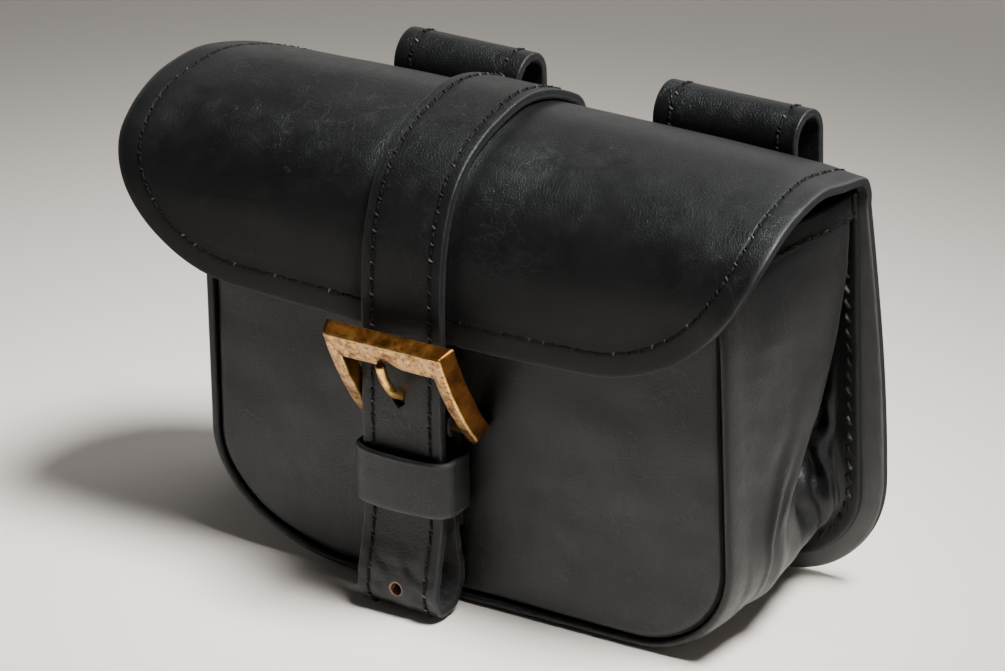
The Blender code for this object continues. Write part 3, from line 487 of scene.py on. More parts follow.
class Finish:
    """A Principled material and short calls for the nodes that feed it."""

    def __init__(self, name, **constants):
        self.material = bpy.data.materials.new(name)
        self.material.use_nodes = True
        self.tree = self.material.node_tree
        self.shader = self.tree.nodes["Principled BSDF"]
        for key, value in constants.items():
            self.shader.inputs[key.replace("_", " ")].default_value = value
        self.place = self.add("TexCoord").outputs["Object"]

    def add(self, kind, *inputs, **settings):
        """A node with its settings, and its inputs as pairs of a name or number and a value or socket."""
        node = self.tree.nodes.new("ShaderNode" + kind)
        for key, value in settings.items():
            setattr(node, key, value)
        for key, value in inputs:
            self.feed(node.inputs[key], value)
        return node

    def feed(self, socket, value):
        """Put a value or another node's output into a socket."""
        if isinstance(value, bpy.types.NodeSocket):
            self.tree.links.new(value, socket)
        else:
            socket.default_value = value

    def done(self, **values):
        """Feed the shader and give the material."""
        for key, value in values.items():
            self.feed(self.shader.inputs[key.replace("_", " ")], value)
        return self.material

    def math(self, operation, *values):
        """A number from one or two others."""
        return self.add("Math", *enumerate(values), operation=operation).outputs[0]

    def times(self, first, second):
        """The product of two numbers."""
        return self.math("MULTIPLY", first, second)

    def larger(self, first, second):
        """The larger of two numbers."""
        return self.math("MAXIMUM", first, second)

    def vectors(self, operation, first, second, output=0):
        """A vector or number from two vectors."""
        return self.add("VectorMath", (0, first), (1, second), operation=operation).outputs[output]

    def span(self, value, low, high, to_low=0.0, to_high=1.0):
        """A value carried from one range to another and kept inside it."""
        return self.add("MapRange", (0, value), (1, low), (2, high), (3, to_low), (4, to_high)).outputs[0]

    def mix(self, share, first, second):
        """A colour between two others."""
        return self.add("Mix", (0, share), (6, first), (7, second), data_type="RGBA").outputs[2]

    def kept(self, name):
        """A value kept on the mesh's points."""
        return self.add("Attribute", attribute_name=name).outputs["Fac"]

    def noise(self, scale, detail=3.0, place=None, rough=0.55, warp=0.0):
        """Soft noise from 0 to 1."""
        return self.add("TexNoise", ("Vector", place or self.place), ("Scale", scale), ("Detail", detail),
                        ("Roughness", rough), ("Distortion", warp)).outputs["Fac"]

    def hairline(self, scale, width, place=None):
        """Thin meandering lines where soft noise is within a width of one half."""
        off = self.math("ABSOLUTE", self.math("SUBTRACT", self.noise(scale, 4.0, place), 0.5))
        return self.span(off, 0.0, width, 1.0, 0.0)

    def warped(self, scale, amount):
        """The place moved about by soft noise."""
        push = self.add("TexNoise", ("Vector", self.place), ("Scale", scale), ("Detail", 2.0))
        centred = self.vectors("SUBTRACT", push.outputs["Color"], (0.5, 0.5, 0.5))
        scaled = self.add("VectorMath", (0, centred), (3, amount), operation="SCALE").outputs[0]
        return self.vectors("ADD", self.place, scaled)

    def bump(self, height, depth, strength=1.0, under=None):
        """A bump of a height from 0 to 1 that is depth deep, over another one."""
        node = self.add("Bump", ("Height", height), ("Distance", depth), ("Strength", strength))
        if under is not None:
            self.feed(node.inputs["Normal"], under)
        return node.outputs["Normal"]


def shade(value, warm=0.0):
    """A grey as a colour with alpha, slightly warm or cool."""
    return (value * (1 + warm), value, value * (1 - warm), 1.0)


def leather(name, tone=0.003, rough=0.41, grain=0.8, creases=1.0, hole=None):
    """Waxed black leather: pebbled grain, fine wrinkles, broken hairlines, worn edges, a fuzzy flesh side.

    A hairline lies where soft noise passes through one half. A hole, given by its middle and its
    radius, has a brown rim, which stays on the layer that the hole goes through. The lighter mark holds
    worn places and painted highlights; the dark mark holds seam grooves, a darker band along the flap's
    lower edge, and painted shade.
    """
    f = Finish(name, Specular_IOR_Level=0.38, Specular_Tint=(0.93, 0.97, 1.0, 1.0))
    raw, wear, dark, cut = (f.kept(mark) for mark in ("raw", "wear", "dark", "cut"))
    cloud = f.noise(17.0, 4.0, warp=0.6)
    mottle = f.noise(160.0, 5.0)
    fine = f.noise(1900.0)
    around = f.warped(45.0, 0.012)
    pebble = f.add("TexVoronoi", ("Vector", f.warped(420.0, 0.0009)), ("Scale", 1050.0),
                   feature="DISTANCE_TO_EDGE")
    pebble = f.span(pebble.outputs["Distance"], 0.0, 0.16)
    crease = f.times(f.hairline(48.0, 0.007, around), f.span(f.noise(27.0), 0.50, 0.60))
    scratch = f.times(f.hairline(170.0, 0.022), f.span(f.noise(41.0), 0.54, 0.66))
    crease = f.larger(crease, scratch)
    stretch = f.add("Mapping", ("Vector", around), ("Rotation", (0.4, 0.9, 0.5)), ("Scale", (1.0, 1.0, 0.28)))
    wrinkle = f.times(f.noise(330.0, 4.0, stretch.outputs[0], 0.62), f.span(f.noise(30.0, 2.0), 0.40, 0.62))
    face = f.mix(f.span(cloud, 0.35, 0.68), shade(tone), shade(0.006))
    face = f.mix(f.span(mottle, 0.55, 0.78, 0.0, 0.35), face, shade(0.009))
    face = f.mix(f.times(crease, 0.5), face, shade(0.025))
    # Lighter where worn, and painted highlights on the flap's cut edge, the gusset's crease and the strap's
    # tail
    face = f.mix(f.times(wear, f.span(mottle, 0.25, 0.7, 0.35, 0.9)), face, shade(0.05))
    face = f.mix(f.times(f.kept("pale"), f.span(mottle, 0.2, 0.8, 0.7, 1.0)), face, shade(0.10))
    # Darker in seam grooves and near the flap's lower edge, and painted shade in the gusset's pleat and hem,
    # in the front panel's seam and in the strap tail's valleys
    face = f.mix(f.times(dark, 0.85), face, shade(0.002))
    fuzz = f.noise(820.0, 6.0, rough=0.75)
    flesh = f.mix(f.span(fuzz, 0.3, 0.72), shade(0.006), shade(0.03, 0.02))
    edge = f.mix(f.span(f.noise(600.0, 5.0), 0.3, 0.7), shade(0.002), shade(0.009))
    # Lighter corners of the cut edges: partly worn, partly a painted highlight
    edge = f.mix(f.times(wear, 0.8), edge, shade(0.05))
    colour = f.mix(f.span(cut, 0.35, 0.8), f.mix(raw, face, flesh), edge)
    if hole is not None:
        weights = (1.0, 0.3, 1.0)
        middle = [float(v * w) for v, w in zip(hole, weights)]
        off = f.vectors("DISTANCE", f.vectors("MULTIPLY", f.place, weights), middle, "Value")
        rim = f.span(off, hole[3] + 0.0001, hole[3] + 0.0006, 1.0, 0.0)
        colour = f.mix(rim, colour, f.mix(f.noise(500.0), (0.10, 0.035, 0.02, 1.0), (0.34, 0.20, 0.15, 1.0)))
    gloss = f.span(mottle, 0.3, 0.75, rough - 0.05, rough + 0.09)
    gloss = f.math("ADD", gloss, f.span(cloud, 0.3, 0.7, -0.03, 0.05))
    gloss = f.larger(gloss, f.span(f.larger(raw, f.times(cut, 0.8)), 0.2, 0.8, 0.0, 0.9))
    gloss = f.larger(gloss, f.times(dark, 0.95))
    smooth = f.math("SUBTRACT", 1.0, raw)
    normal = f.bump(f.times(pebble, smooth), 0.00009 * grain, 0.55)
    normal = f.bump(f.times(fine, smooth), 0.00006 * grain, 0.5, normal)
    normal = f.bump(f.times(wrinkle, smooth), 0.0004 * grain, 0.55, normal)
    normal = f.bump(f.times(crease, smooth), -0.00007 * creases, 0.6, normal)
    normal = f.bump(f.times(fuzz, raw), 0.0008, 0.9, normal)
    return f.done(Base_Color=colour, Roughness=gloss, Normal=normal)


def thread_finish(name, tone, worn_tone):
    """Waxed thread, its twist a fine slanting ripple."""
    f = Finish(name, Roughness=0.7, Specular_IOR_Level=0.2)
    turned = f.add("Mapping", ("Vector", f.place), ("Rotation", (0.6, 0.5, 0.7)))
    twist = f.add("TexWave", ("Vector", turned.outputs[0]), ("Scale", 420.0), ("Distortion", 1.5))
    colour = f.mix(f.span(f.noise(260.0), 0.50, 0.72), shade(tone), shade(worn_tone))
    return f.done(Base_Color=colour, Normal=f.bump(twist.outputs["Fac"], 0.0002, 0.6))


def brass_finish(name):
    """Antique brass: a dull pinkish patina with specks on the faces, dark brown sides, bright worn ridges."""
    f = Finish(name, Metallic=1.0)
    ridge, face = f.kept("wear"), f.kept("face")
    blotch = f.noise(170.0, 5.0, rough=0.65)
    speck = f.noise(620.0, 4.0, rough=0.7)
    side = f.mix(f.span(blotch, 0.35, 0.7), (0.11, 0.036, 0.008, 1.0), (0.28, 0.12, 0.025, 1.0))
    patina = f.mix(f.span(blotch, 0.38, 0.60), (0.20, 0.095, 0.035, 1.0), (0.50, 0.31, 0.16, 1.0))
    patina = f.mix(f.span(speck, 0.52, 0.64), patina, (0.72, 0.42, 0.12, 1.0))
    patina = f.mix(f.span(speck, 0.35, 0.45, 1.0, 0.0), patina, (0.09, 0.035, 0.015, 1.0))
    worn = f.times(ridge, f.span(speck, 0.30, 0.55, 0.35, 1.0))
    colour = f.mix(worn, f.mix(face, side, patina), (0.95, 0.58, 0.16, 1.0))
    rough = f.math("SUBTRACT", f.span(blotch, 0.3, 0.7, 0.34, 0.5), f.times(ridge, 0.12))
    normal = f.bump(speck, 0.00012, 0.6, f.bump(blotch, 0.0005, 0.5))
    return f.done(Base_Color=colour, Roughness=rough, Normal=normal)


# Flap and back panel

def flap_side_view():
    """Outside of back panel and flap from the side: straight up the back, then a curve over the profile."""
    flap = FLAP_PROFILE * (-FLAP_REACH, FLAP_TOP - FLAP_EDGE) + (0.0, FLAP_EDGE)
    lean = (BACK_WALL * SHOULDER[0], BEND_START + (flap[0, 1] - BEND_START) * SHOULDER[1])
    over = dense_curve(np.vstack([(BACK_WALL, BEND_START), lean, flap]))
    return np.vstack([points_of(BACK_WALL, np.linspace(0, BEND_START, 201)[:-1]), over])


FLAP_LINE = flap_side_view()
FLAP_ALONG = lengths(FLAP_LINE)
FLAP_END = FLAP_ALONG[-1]
FLAP_IN = left_of(FLAP_LINE)
CORNER_START = FLAP_END - FLAP_CORNER_HEIGHT - FLAP_PULL


def flap_edges(u):
    """Left and right edges (X) of back panel and flap at distances u along the leather from its rear end.

    The half width grows from the waist at the bend to the back's and to the flap's width, less the
    quarter circles and ellipses of the four corners, and the flap's middle shifts to the left.
    """
    waist = WAIST_WIDTH / 2
    share = np.clip((u - BEND_START) / (CORNER_START - BEND_START), 0, 1)
    widen = np.interp(share, *dense_curve(FLAP_SIDES).T)
    low = np.clip((BEND_START - u) / (BEND_START - BACK_CORNER), 0, 1)
    back = waist + (BACK_WIDTH / 2 - waist) * np.sin(np.pi / 2 * low)
    half = np.where(u < BEND_START, back, waist + widen * (FLAP_WIDTH / 2 - waist))
    turn_back = np.clip((BACK_CORNER - u) / BACK_CORNER, 0, 1)
    half = half - BACK_CORNER * (1 - np.sqrt(1 - turn_back ** 2))
    edges = []
    for direction, grow in ((-1, 0.0), (1, FLAP_PULL)):
        turn = np.clip((u - FLAP_END + FLAP_CORNER_HEIGHT + grow) / (FLAP_CORNER_HEIGHT + grow), 0, 1)
        cut = (FLAP_CORNER_WIDTH + grow) * (1 - np.sqrt(1 - turn ** 2))
        edges.append(widen * FLAP_SHIFT + direction * (half - cut))
    return edges


FLAP_STATIONS = np.linspace(0, FLAP_END, 2001)
FLAP_RIGHT = (FLAP_STATIONS, flap_edges(FLAP_STATIONS)[1])


def flap_place(plan, depth):
    """Point of the flap from its flat place (X, distance along the leather) and its depth under the outside.

    The side view carries it, the ridge droops with the square of X, the lower edge rises with it, the
    right edge sinks a little past the ridge, and soft uneven waves push the leather in or out away
    from the strap and the back, with a shallow dent along both sides of the strap.
    """
    x, u = plan[..., 0], plan[..., 1]
    y, z, in_y, in_z = (np.interp(u, FLAP_ALONG, column) for column in np.hstack([FLAP_LINE, FLAP_IN]).T)
    reach = (x / (FLAP_WIDTH / 2)) ** 2
    ridge = np.clip((z - BEND_START) / (FLAP_TOP - BEND_START), 0, 1)
    front = np.clip((u - CORNER_START) / (FLAP_END - CORNER_START), 0, 1)
    off_strap = np.abs(x - STRAP_X)
    free = rise(off_strap, 16, 34) * rise(u, BEND_START + 8, BEND_START + 45)
    wave = free * (0.55 * ripple(x, u, 75, 3) + 0.16 * ripple(x, u, 24, 4))
    press = 0.5 * bell(off_strap, STRAP_WIDTH / 2 + 1.5, 2.6) * rise(u, BEND_START + 20, BEND_START + 40)
    inward = depth + wave + press
    lift = (FLAP_EDGE_BOW * front ** 2 - FLAP_DROOP * ridge) * reach
    to_edge = np.interp(u, *FLAP_RIGHT) - x
    sink = 3.2 * rise(to_edge, 15, 1) * bell(y, -19, 17) * rise(u, 0, BEND_START)
    return points_of(x, y + in_y * inward, z + in_z * inward + lift - sink)


def flap_plan(rows, columns):
    """Flat grid of the flap inside its border, and the outward normals round it.

    Each side edge is moved in by the border. The rows are even along both moved edges together, and
    the columns even between them.
    """
    ease = (1 - np.cos(np.linspace(0, np.pi, 5001))) / 2
    moved = []
    for edge, side in zip(flap_edges(FLAP_END * ease), (1, -1)):
        line = points_of(edge, FLAP_END * ease)
        moved.append(line - side * BORDER * left_of(line))
    dense = BORDER + (FLAP_END - 2 * BORDER) * ease
    share = 0.0
    for line in moved:
        along = np.interp(dense, line[:, 1], lengths(line))
        share = share + (along - along[0]) / (along[-1] - along[0]) / 2
    stations = np.interp(np.linspace(0, 1, rows), share, dense)
    left, right = (np.interp(stations, line[:, 1], line[:, 0])[:, None] for line in moved)
    grid = points_of(left + (right - left) * np.linspace(0, 1, columns), stations[:, None])
    index = numbered((rows, columns))
    loop = np.concatenate([index[:, 0], index[-1, 1:], index[-2::-1, -1], index[0, -2:0:-1]])
    ring = grid.reshape(-1, 2)[loop]
    return grid, loop, ring, left_of_ring(ring)


def darker_near_edge(along, most):
    """How much darker and duller the flap is made: 0 down its front, rising to the most given before its
    lower edge.
    """
    return most * rise(along, FLAP_END - 46, FLAP_END - 20)


def flap_and_back(finish):
    """Back panel and flap: a flat grid inside its border, rings of the border's section, and the flesh side.

    The flesh side is rough leather behind the flap, and paler on the inside of the back.
    """
    grid, loop, ring, outward = flap_plan(190, 128)
    flat = grid.reshape(-1, 2)
    points = []
    marks = {key: [] for key in ("wear", "dark", "raw", "cut", "pale")}

    def add(plan, depth, **values):
        """Add points at a depth under the outside with their marks."""
        points.append(flap_place(plan, depth))
        for key, kept in marks.items():
            kept.append(np.broadcast_to(values.get(key, 0.0), len(plan)))

    add(flat, 0.0, dark=darker_near_edge(flat[:, 1], 0.62))
    back = rise(ring[:, 1], BEND_START + 6, BEND_START)
    rough = rise(ring[:, 1], BEND_START - 6, BEND_START + 10)
    for distance, depth in FLAP_SECTION:
        sunk = 1 - back * (distance > 7.0) * (depth < 0.6)
        # Lighter lines along both corners of the cut edge: partly worn, partly a painted highlight
        corner = max(bell(depth, 0.22, 0.17), 0.8 * bell(depth, 2.8, 0.17)) * (distance < 2)
        groove = (1 - back) * bell(distance, FLAP_SEAM, 0.55) * (depth < 1.0)
        add(ring + outward * (BORDER - distance), depth * sunk, wear=corner,
            dark=np.maximum(groove, darker_near_edge(ring[:, 1], 0.72)), cut=float(0.5 < depth < 2.6),
            raw=(depth > 2.6) * rough, pale=(depth > 2.6) * (1 - rough))
    rough = rise(flat[:, 1], BEND_START - 6, BEND_START + 10)
    add(flat, BACK_WALL, raw=rough, pale=1 - rough)
    border = numbered((len(FLAP_SECTION), len(loop)), len(flat))
    outside, inside = (numbered(grid.shape[:2], first) for first in (0, border.max() + 1))
    band = np.vstack([loop, border, inside.ravel()[loop]])
    faces = np.vstack([grid_quads(outside), round_quads(band), grid_quads(inside)[:, ::-1]])
    marks = {key: np.concatenate(kept) for key, kept in marks.items()}
    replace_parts(make_piece("flap_and_back", np.vstack(points), faces, finish, marks), "back_and_flap")
    return ring, outward


def flap_stitches(ring, outward):
    """The flap's stitch line, from one rear corner round the front to the strap and on to the other one."""
    plan = ring + outward * (BORDER - FLAP_SEAM)
    plan = plan[plan[:, 1] > BEND_START + 7]
    path = flap_place(plan, GROOVE)
    out = unit(flap_place(plan, 0.0) - flap_place(plan, 1.0))
    under_strap = np.abs(plan[:, 0] - STRAP_X) < STRAP_WIDTH / 2 + 3.5
    first, last = np.flatnonzero(under_strap & (plan[:, 1] > FLAP_END - 30))[[0, -1]]
    seam("flap_stitches_left", path[:first], out[:first])
    seam("flap_stitches_right", path[last + 1:], out[last + 1:])


# Front panel and gusset

def panel_side(direction, top, rows=None, near=None):
    """Left (-1) or right (1) half of the front panel's outline (X, Z), from a top height down to the bottom.

    A straight side, on the right leaning out towards its foot, then a quarter ellipse. It is read at a
    number of rows, or at the places near its top and then step by step, and its normals with it.
    """
    width, height, lean = CORNER_WIDTH, CORNER_HEIGHT, 0.0
    if direction > 0:
        width, height, lean = RIGHT_CORNER_WIDTH, RIGHT_CORNER_HEIGHT, RIGHT_LEAN
    half = BODY_WIDTH / 2 + lean
    corner_top = ROLL_WIDTH + height
    angle = np.linspace(0, np.pi / 2, 400)
    down = np.linspace(top, corner_top, 301)[:-1]
    path = np.vstack([points_of(half - lean * (down - corner_top) / (BODY_HEIGHT - corner_top), down),
                      points_of(half - width * (1 - np.cos(angle)), corner_top - height * np.sin(angle))])
    turn = unit(points_of(np.cos(angle) / width, -np.sin(angle) / height))
    normal = np.vstack([points_of(1.0, 0 * down), turn])
    total = lengths(path)[-1]
    if rows:
        stations = np.linspace(0, total, rows)
    else:
        count = int((total - near[-1]) / SIDE_STEP)
        stations = np.concatenate([near, np.linspace(near[-1], total, count)[1:]])
    flip = (direction, 1)
    return walk(path, stations) * flip, unit(read_along(path, normal, stations)) * flip, stations


def front_panel(finish):
    """Front panel: a softly uneven face whose rim turns in along the seam by a quarter circle, then its wall.

    The waves of the face stop under the strap, and a shallow hollow runs across its upper part.
    """
    top = BODY_HEIGHT - FRONT_TOP_DROP
    (left, left_out), (right, right_out) = (panel_side(direction, top, 106)[:2] for direction in (-1, 1))
    left = left - left_out * (FRONT_RIM_ROUND + FIT_GAP / 2)
    right = right - right_out * (FRONT_RIM_ROUND + FIT_GAP / 2)
    plan = left[:, None] + (right - left)[:, None] * np.linspace(0, 1, 126)[:, None]
    bottom = plan[-1, 1:-1]
    rim = np.vstack([left, bottom, right[::-1]])
    out = np.vstack([left_out, points_of(0 * bottom[:, 0], -1.0), right_out[::-1]])
    angle = np.radians(np.linspace(0, 90, 9))[1:]
    grow = np.append(FRONT_RIM_ROUND * np.sin(angle), [FRONT_RIM_ROUND] * 2)
    back = np.append(FRONT_RIM_ROUND * (1 - np.cos(angle)), [0.7 * FRONT_RIM_DEPTH, FRONT_RIM_DEPTH])
    turned = rim + out * grow[:, None, None]
    wall = points_of(turned[..., 0], (back - BODY_DEPTH)[:, None], turned[..., 1])
    face = points_of(plan[..., 0], -BODY_DEPTH, plan[..., 1])
    points = np.vstack([face.reshape(-1, 3), wall.reshape(-1, 3)])
    x, y, z = points.T
    wave = rise(np.abs(x - STRAP_X), 17, 34) * (0.5 * ripple(x, z, 62, 11) + 0.14 * ripple(x, z, 21, 12))
    points[:, 1] += rise(y, -BODY_DEPTH + 6, -BODY_DEPTH) * (wave + 0.6 * bell(z, 100, 24))

    index = numbered(face.shape[:2])
    loop = np.concatenate([index[:, 0], index[-1, 1:-1], index[::-1, -1]])
    band = np.vstack([loop, numbered(wall.shape[:2], index.size)])
    faces = np.vstack([grid_quads(index), grid_quads(band)])
    marks = {key: np.zeros(len(points)) for key in ("wear", "dark", "raw", "cut")}
    ring = np.arange(1, len(wall) + 1).repeat(len(rim))
    marks["wear"][index.size:] = 0.25 * np.sin(np.minimum(ring, 5) / 5 * np.pi)
    # Painted shade on the rim's wall where it turns into the seam
    marks["dark"][index.size:] = 0.9 * (ring > 2)
    piece = make_piece("front_panel_leather", points, faces, finish, marks)
    if piece.data.polygons[0].normal.y > 0:
        piece.data.flip_normals()
    thickness = piece.modifiers.new("wall", "SOLIDIFY")
    thickness.thickness = FRONT_WALL * MM
    thickness.offset = -1.0
    thickness.use_even_offset = True
    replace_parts(piece, "front_panel")


def gusset_grid():
    """Middle surface and outward normals of the gusset's section, at stations round the outline.

    The section runs from the rim inside the seam round the front roll, back along the wall to the
    crease, into the pleat behind it and out along the flange, and q counts it: 0 where the wall
    starts, 2 at the crease, 3 at the deepest fold, 4 at the back seam and 5 at the flange's edge.
    Also given are the outline's points and normals, and how far each is below the gusset's top.
    """
    hem = np.array([0, 0.06, 0.2, 0.45, 0.8, 1.3, 2.2, 3.4, 4.8, 5.9, 6.5, 6.8, 7.0, 7.2, 7.5, 7.8, 8.1, 8.5,
                    9.2, 10.2])
    left, left_out, left_along = panel_side(-1, BODY_HEIGHT, near=hem)
    right, right_out, right_along = panel_side(1, BODY_HEIGHT, near=hem)
    floor_x = np.linspace(left[-1, 0], right[-1, 0], 50)[1:-1]
    point = np.vstack([left, points_of(floor_x, left[-1, 1]), right[::-1]])
    normal = np.vstack([left_out, points_of(0 * floor_x, -1.0), right_out[::-1]])
    below = np.concatenate([left_along, left_along[-1] + 0 * floor_x, right_along[::-1]])

    half_wall = GUSSET_WALL / 2
    inner = FIT_GAP / 2 + half_wall
    outer = ROLL_WIDTH - half_wall
    turned = inner + ROLL_TURN
    turn_y = -BODY_DEPTH + ROLL_TURN + half_wall - ROLL_PROUD
    wall_start = -BODY_DEPTH + ROLL_LENGTH
    flat_y = -(FIT_GAP + half_wall)
    lead = spaced(turn_y, -BODY_DEPTH + FRONT_RIM_DEPTH, 1.2)[::-1]
    angle = np.linspace(0, np.pi / 2, 13)[:-1]
    roll = np.vstack([
        points_of(inner, lead[lead > turn_y + 0.9]),
        arc((turned, turn_y), -ROLL_TURN, 0, 90, 7)[:-1],
        points_of(turned + (outer - turned) * np.sin(angle),
                  turn_y - ROLL_TURN + (wall_start - turn_y + ROLL_TURN) * (1 - np.cos(angle))),
    ])

    sideways, downward = (normal ** 2).T
    pleat_height, *pleat = dense_curve(PLEAT).T
    crease, bulge, fold = (np.interp(point[:, 1] / BODY_HEIGHT, pleat_height, column) for column in pleat)
    crease = -BODY_DEPTH * crease
    bulge = CREASE_BULGE * bulge * sideways
    fold = PLEAT_DEPTH * fold * sideways
    foot = SIDE_FLARE * sideways - BOTTOM_RISE * downward
    level = outer * sideways + (outer + foot) / 2 * downward
    across = points_of(outer, outer, level + bulge * WALL_BULGE, level + bulge, (level + foot) / 2 - fold,
                       foot, foot + FLANGE_WIDTH)
    backward = points_of(turn_y, wall_start, (wall_start + crease) / 2, crease, crease * WALL_FOLD + flat_y,
                         flat_y, flat_y)
    q = np.concatenate([np.linspace(0, 1.7, 20)[:-1], np.linspace(1.7, 2.3, 15)[:-1],
                        np.linspace(2.3, 4.0, 28)[:-1], np.linspace(4.0, 4.85, 9),
                        5 - EDGE_STEPS[-2::-1] / FLANGE_WIDTH])
    wall = curve_through(points_of(across, backward), q + 1)
    wall[..., 1] = np.minimum(wall[..., 1], flat_y)
    middle = np.concatenate([np.broadcast_to(roll, (len(point), *roll.shape)), wall], axis=1)
    q = np.concatenate([np.linspace(-2, 0, len(roll) + 1)[:-1], q])
    return point, normal, below, middle, -left_of(middle), q


def gusset(finish):
    """Gusset: gusset_grid's band with hem, creases, crumpled pleat, worn places, painted light and shade,
    thickness.
    """
    point, normal, below_top, middle, out, q = gusset_grid()
    below = below_top[:, None]
    z = point[:, 1:]
    tall = z / BODY_HEIGHT
    side = normal[:, :1] ** 2
    corner_top = ROLL_WIDTH + CORNER_HEIGHT
    wobble = ripple(q * 12, z, 17, 21)
    wall = rise(q, -0.2, 0.4) * (1 - rise(q, 1.75, 2.0))
    pleat = rise(q, 2.15, 2.5) * (1 - rise(q, 3.75, 4.0))
    low = rise(tall, 0.12, 0.28) * (1 - rise(tall, 0.62, 0.86))
    push = 0.55 * bell(q, 2.0, 0.13) * (1 - rise(tall, 0.93, 1.0))
    for size, along, long, high, wide in GUSSET_BUMPS:
        push = push + size * bell(q, along, long) * bell(tall, high, wide)
    push = push + 1.5 * np.sin(2 * np.pi * (1.9 * q + 0.5 * np.sin(7 * tall) + 0.25 * wobble)) * pleat * low
    push = push + 0.9 * wobble * pleat * rise(tall, 0.15, 0.3)
    push = push + 0.45 * wall * ripple(q * 16, z, 38, 22)
    push = push * side + 0.10 * ripple(q * 14, point[:, :1] + z, 9, 23) * (q > 0)
    push = push * np.where(q > 4, rise(q, 4.75, 4.1), 1.0)
    hem = HEM_THICKER * (1 - rise(below, HEM_SEAM + 0.1, HEM_SEAM + 1.3)) * (q > -0.8)
    groove = 0.25 * bell(below, HEM_LINE, 0.5)
    to_flange_edge = np.where(q > 4, (5 - q) * FLANGE_WIDTH, BODY_DEPTH)
    half = (GUSSET_WALL / 2 + hem) * round_edge(below) * round_edge(to_flange_edge, 2.4)
    half = half * round_edge(lengths(middle[0]), 0.7)

    def place(section):
        """A point of the section put round the outline, its top edge falling towards the front."""
        across, y = section[..., 0], section[..., 1]
        z = point[:, 1:] + normal[:, 1:] * across
        fall = np.clip((-y / BODY_DEPTH - WALL_FALL) / (1 - WALL_FALL), 0, 1)
        high = np.clip((z - corner_top) / (BODY_HEIGHT - corner_top), 0, 1)
        z = z - GUSSET_FRONT_DROP * fall ** 2 * high + 2.6 * rise(high, 0.6, 1.0) * rise(y, -58, -20)
        lean = 6.5 * rise(high, 0.74, 1.08) * bell(y, -46, 21) * rise(across, 0.0, 2.0)
        return points_of(point[:, :1] + normal[:, :1] * (across - lean), y, z)

    moved = middle + out * (push + hem - groove)[..., None]
    moved[..., 1] = np.minimum(moved[..., 1], -(FIT_GAP + GUSSET_WALL / 2))
    surface = place(moved)
    facing = unit(place(moved + out) - surface)
    surface[..., 2] = np.maximum(surface[..., 2], half + 0.02)
    # The light line along the crease is partly worn, cracked grain and partly a painted highlight
    wear = 0.9 * bell(q, 2.0, 0.05) * side + 0.35 * bell(q, -1.2, 0.2)
    wear = wear + 0.3 * bell(below, HEM_SEAM + 0.9, 0.4) + 0.35 * bell(below, 0.9, 0.8)
    wear = wear + 0.35 * pleat * side * rise(wobble, 0.3, 1.0)
    # Painted shade in the pleat's hollow and at its fold into the back seam; the hem's stitch line is a dark
    # groove
    dark = (0.55 * bell(q, 4.0, 0.12) + 0.35 * pleat) * side + bell(below, HEM_LINE, 0.4)
    # Painted shadow of the flap across the gusset's top, fading out below the hem
    dark = dark + 0.9 * (1 - rise(below, HEM_SEAM + 0.5, HEM_SEAM + 9)) * (q > -0.5) * (1 - rise(q, 3.6, 4.0))
    piece = sheet("gusset_leather", surface, facing, half, finish, np.clip(wear, 0, 1), np.clip(dark, 0, 1))
    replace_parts(piece, "gusset")
    return surface + facing * half[..., None], facing, below_top, q


def gusset_stitches(grain, facing, below, q):
    """Stitches through the flange all round, a zigzag through each hem, and the flange's seam on the back."""
    column = int(np.argmin(np.abs(q - 4.5)))
    flange = grain[3:-3, column]
    stitches("flange_stitches", flange, facing[3:-3, column], pale_thread, 28.0, thick=FLANGE_THREAD)
    columns = np.flatnonzero((q > -0.6) & (q < 3.7))
    halves = np.split(np.arange(len(below)), [len(below) // 2])
    for name, rows in zip(("hem_stitches_left", "hem_stitches_right"), halves):
        row = rows[int(np.argmin(np.abs(below[rows] - HEM_LINE)))]
        path, out = grain[row, columns], facing[row, columns]
        count = int(lengths(path)[-1] / HEM_PITCH)
        pitch = lengths(path)[-1] / (count + 0.01)
        slant = np.where(np.arange(count) % 2, 24.0, -24.0)
        stitches(name, path, out, thread, slant, pitch, HEM_PITCH)
        stitches(name + "_knots", path, out, pale_thread, -slant, pitch, 1.9, KNOT, start=0.05)
    on_back = points_of(flange[:, 0], BACK_WALL - 0.1, flange[:, 2])
    seam("back_stitches", on_back, points_of(0 * flange[:, 0], 1.0, 0.0))


# Closing strap with its keeper and chape

def strap_side_view():
    """Strap's middle from the side: over the flap, down through buckle and keeper, round its folded tail."""
    on_flap = (FLAP_ALONG > BEND_START + 4) & (FLAP_LINE[:, 1] > FLAP_EDGE + 0.1)
    over = FLAP_LINE[on_flap] - (FIT_GAP + STRAP_THICK / 2) * FLAP_IN[on_flap]
    tail = TAIL * (STRAP_RUN + BODY_DEPTH, KEEPER_BOTTOM) - (BODY_DEPTH, 0)
    tail[:, 1] += TAIL_BOTTOM + STRAP_THICK / 2 - tail[:, 1].min()
    down = points_of(STRAP_RUN, [HEEL_Z + PRONG_HOLE_RISE, KEEPER_BOTTOM + KEEPER_HEIGHT,
                                 KEEPER_BOTTOM + KEEPER_HEIGHT / 3])
    up = points_of(STRAP_BACK, [KEEPER_BOTTOM, KEEPER_BOTTOM + KEEPER_HEIGHT / 2, TAIL_TOP])
    return np.vstack([over[:-1], dense_curve(np.vstack([over[-1:], down, tail, up]))])


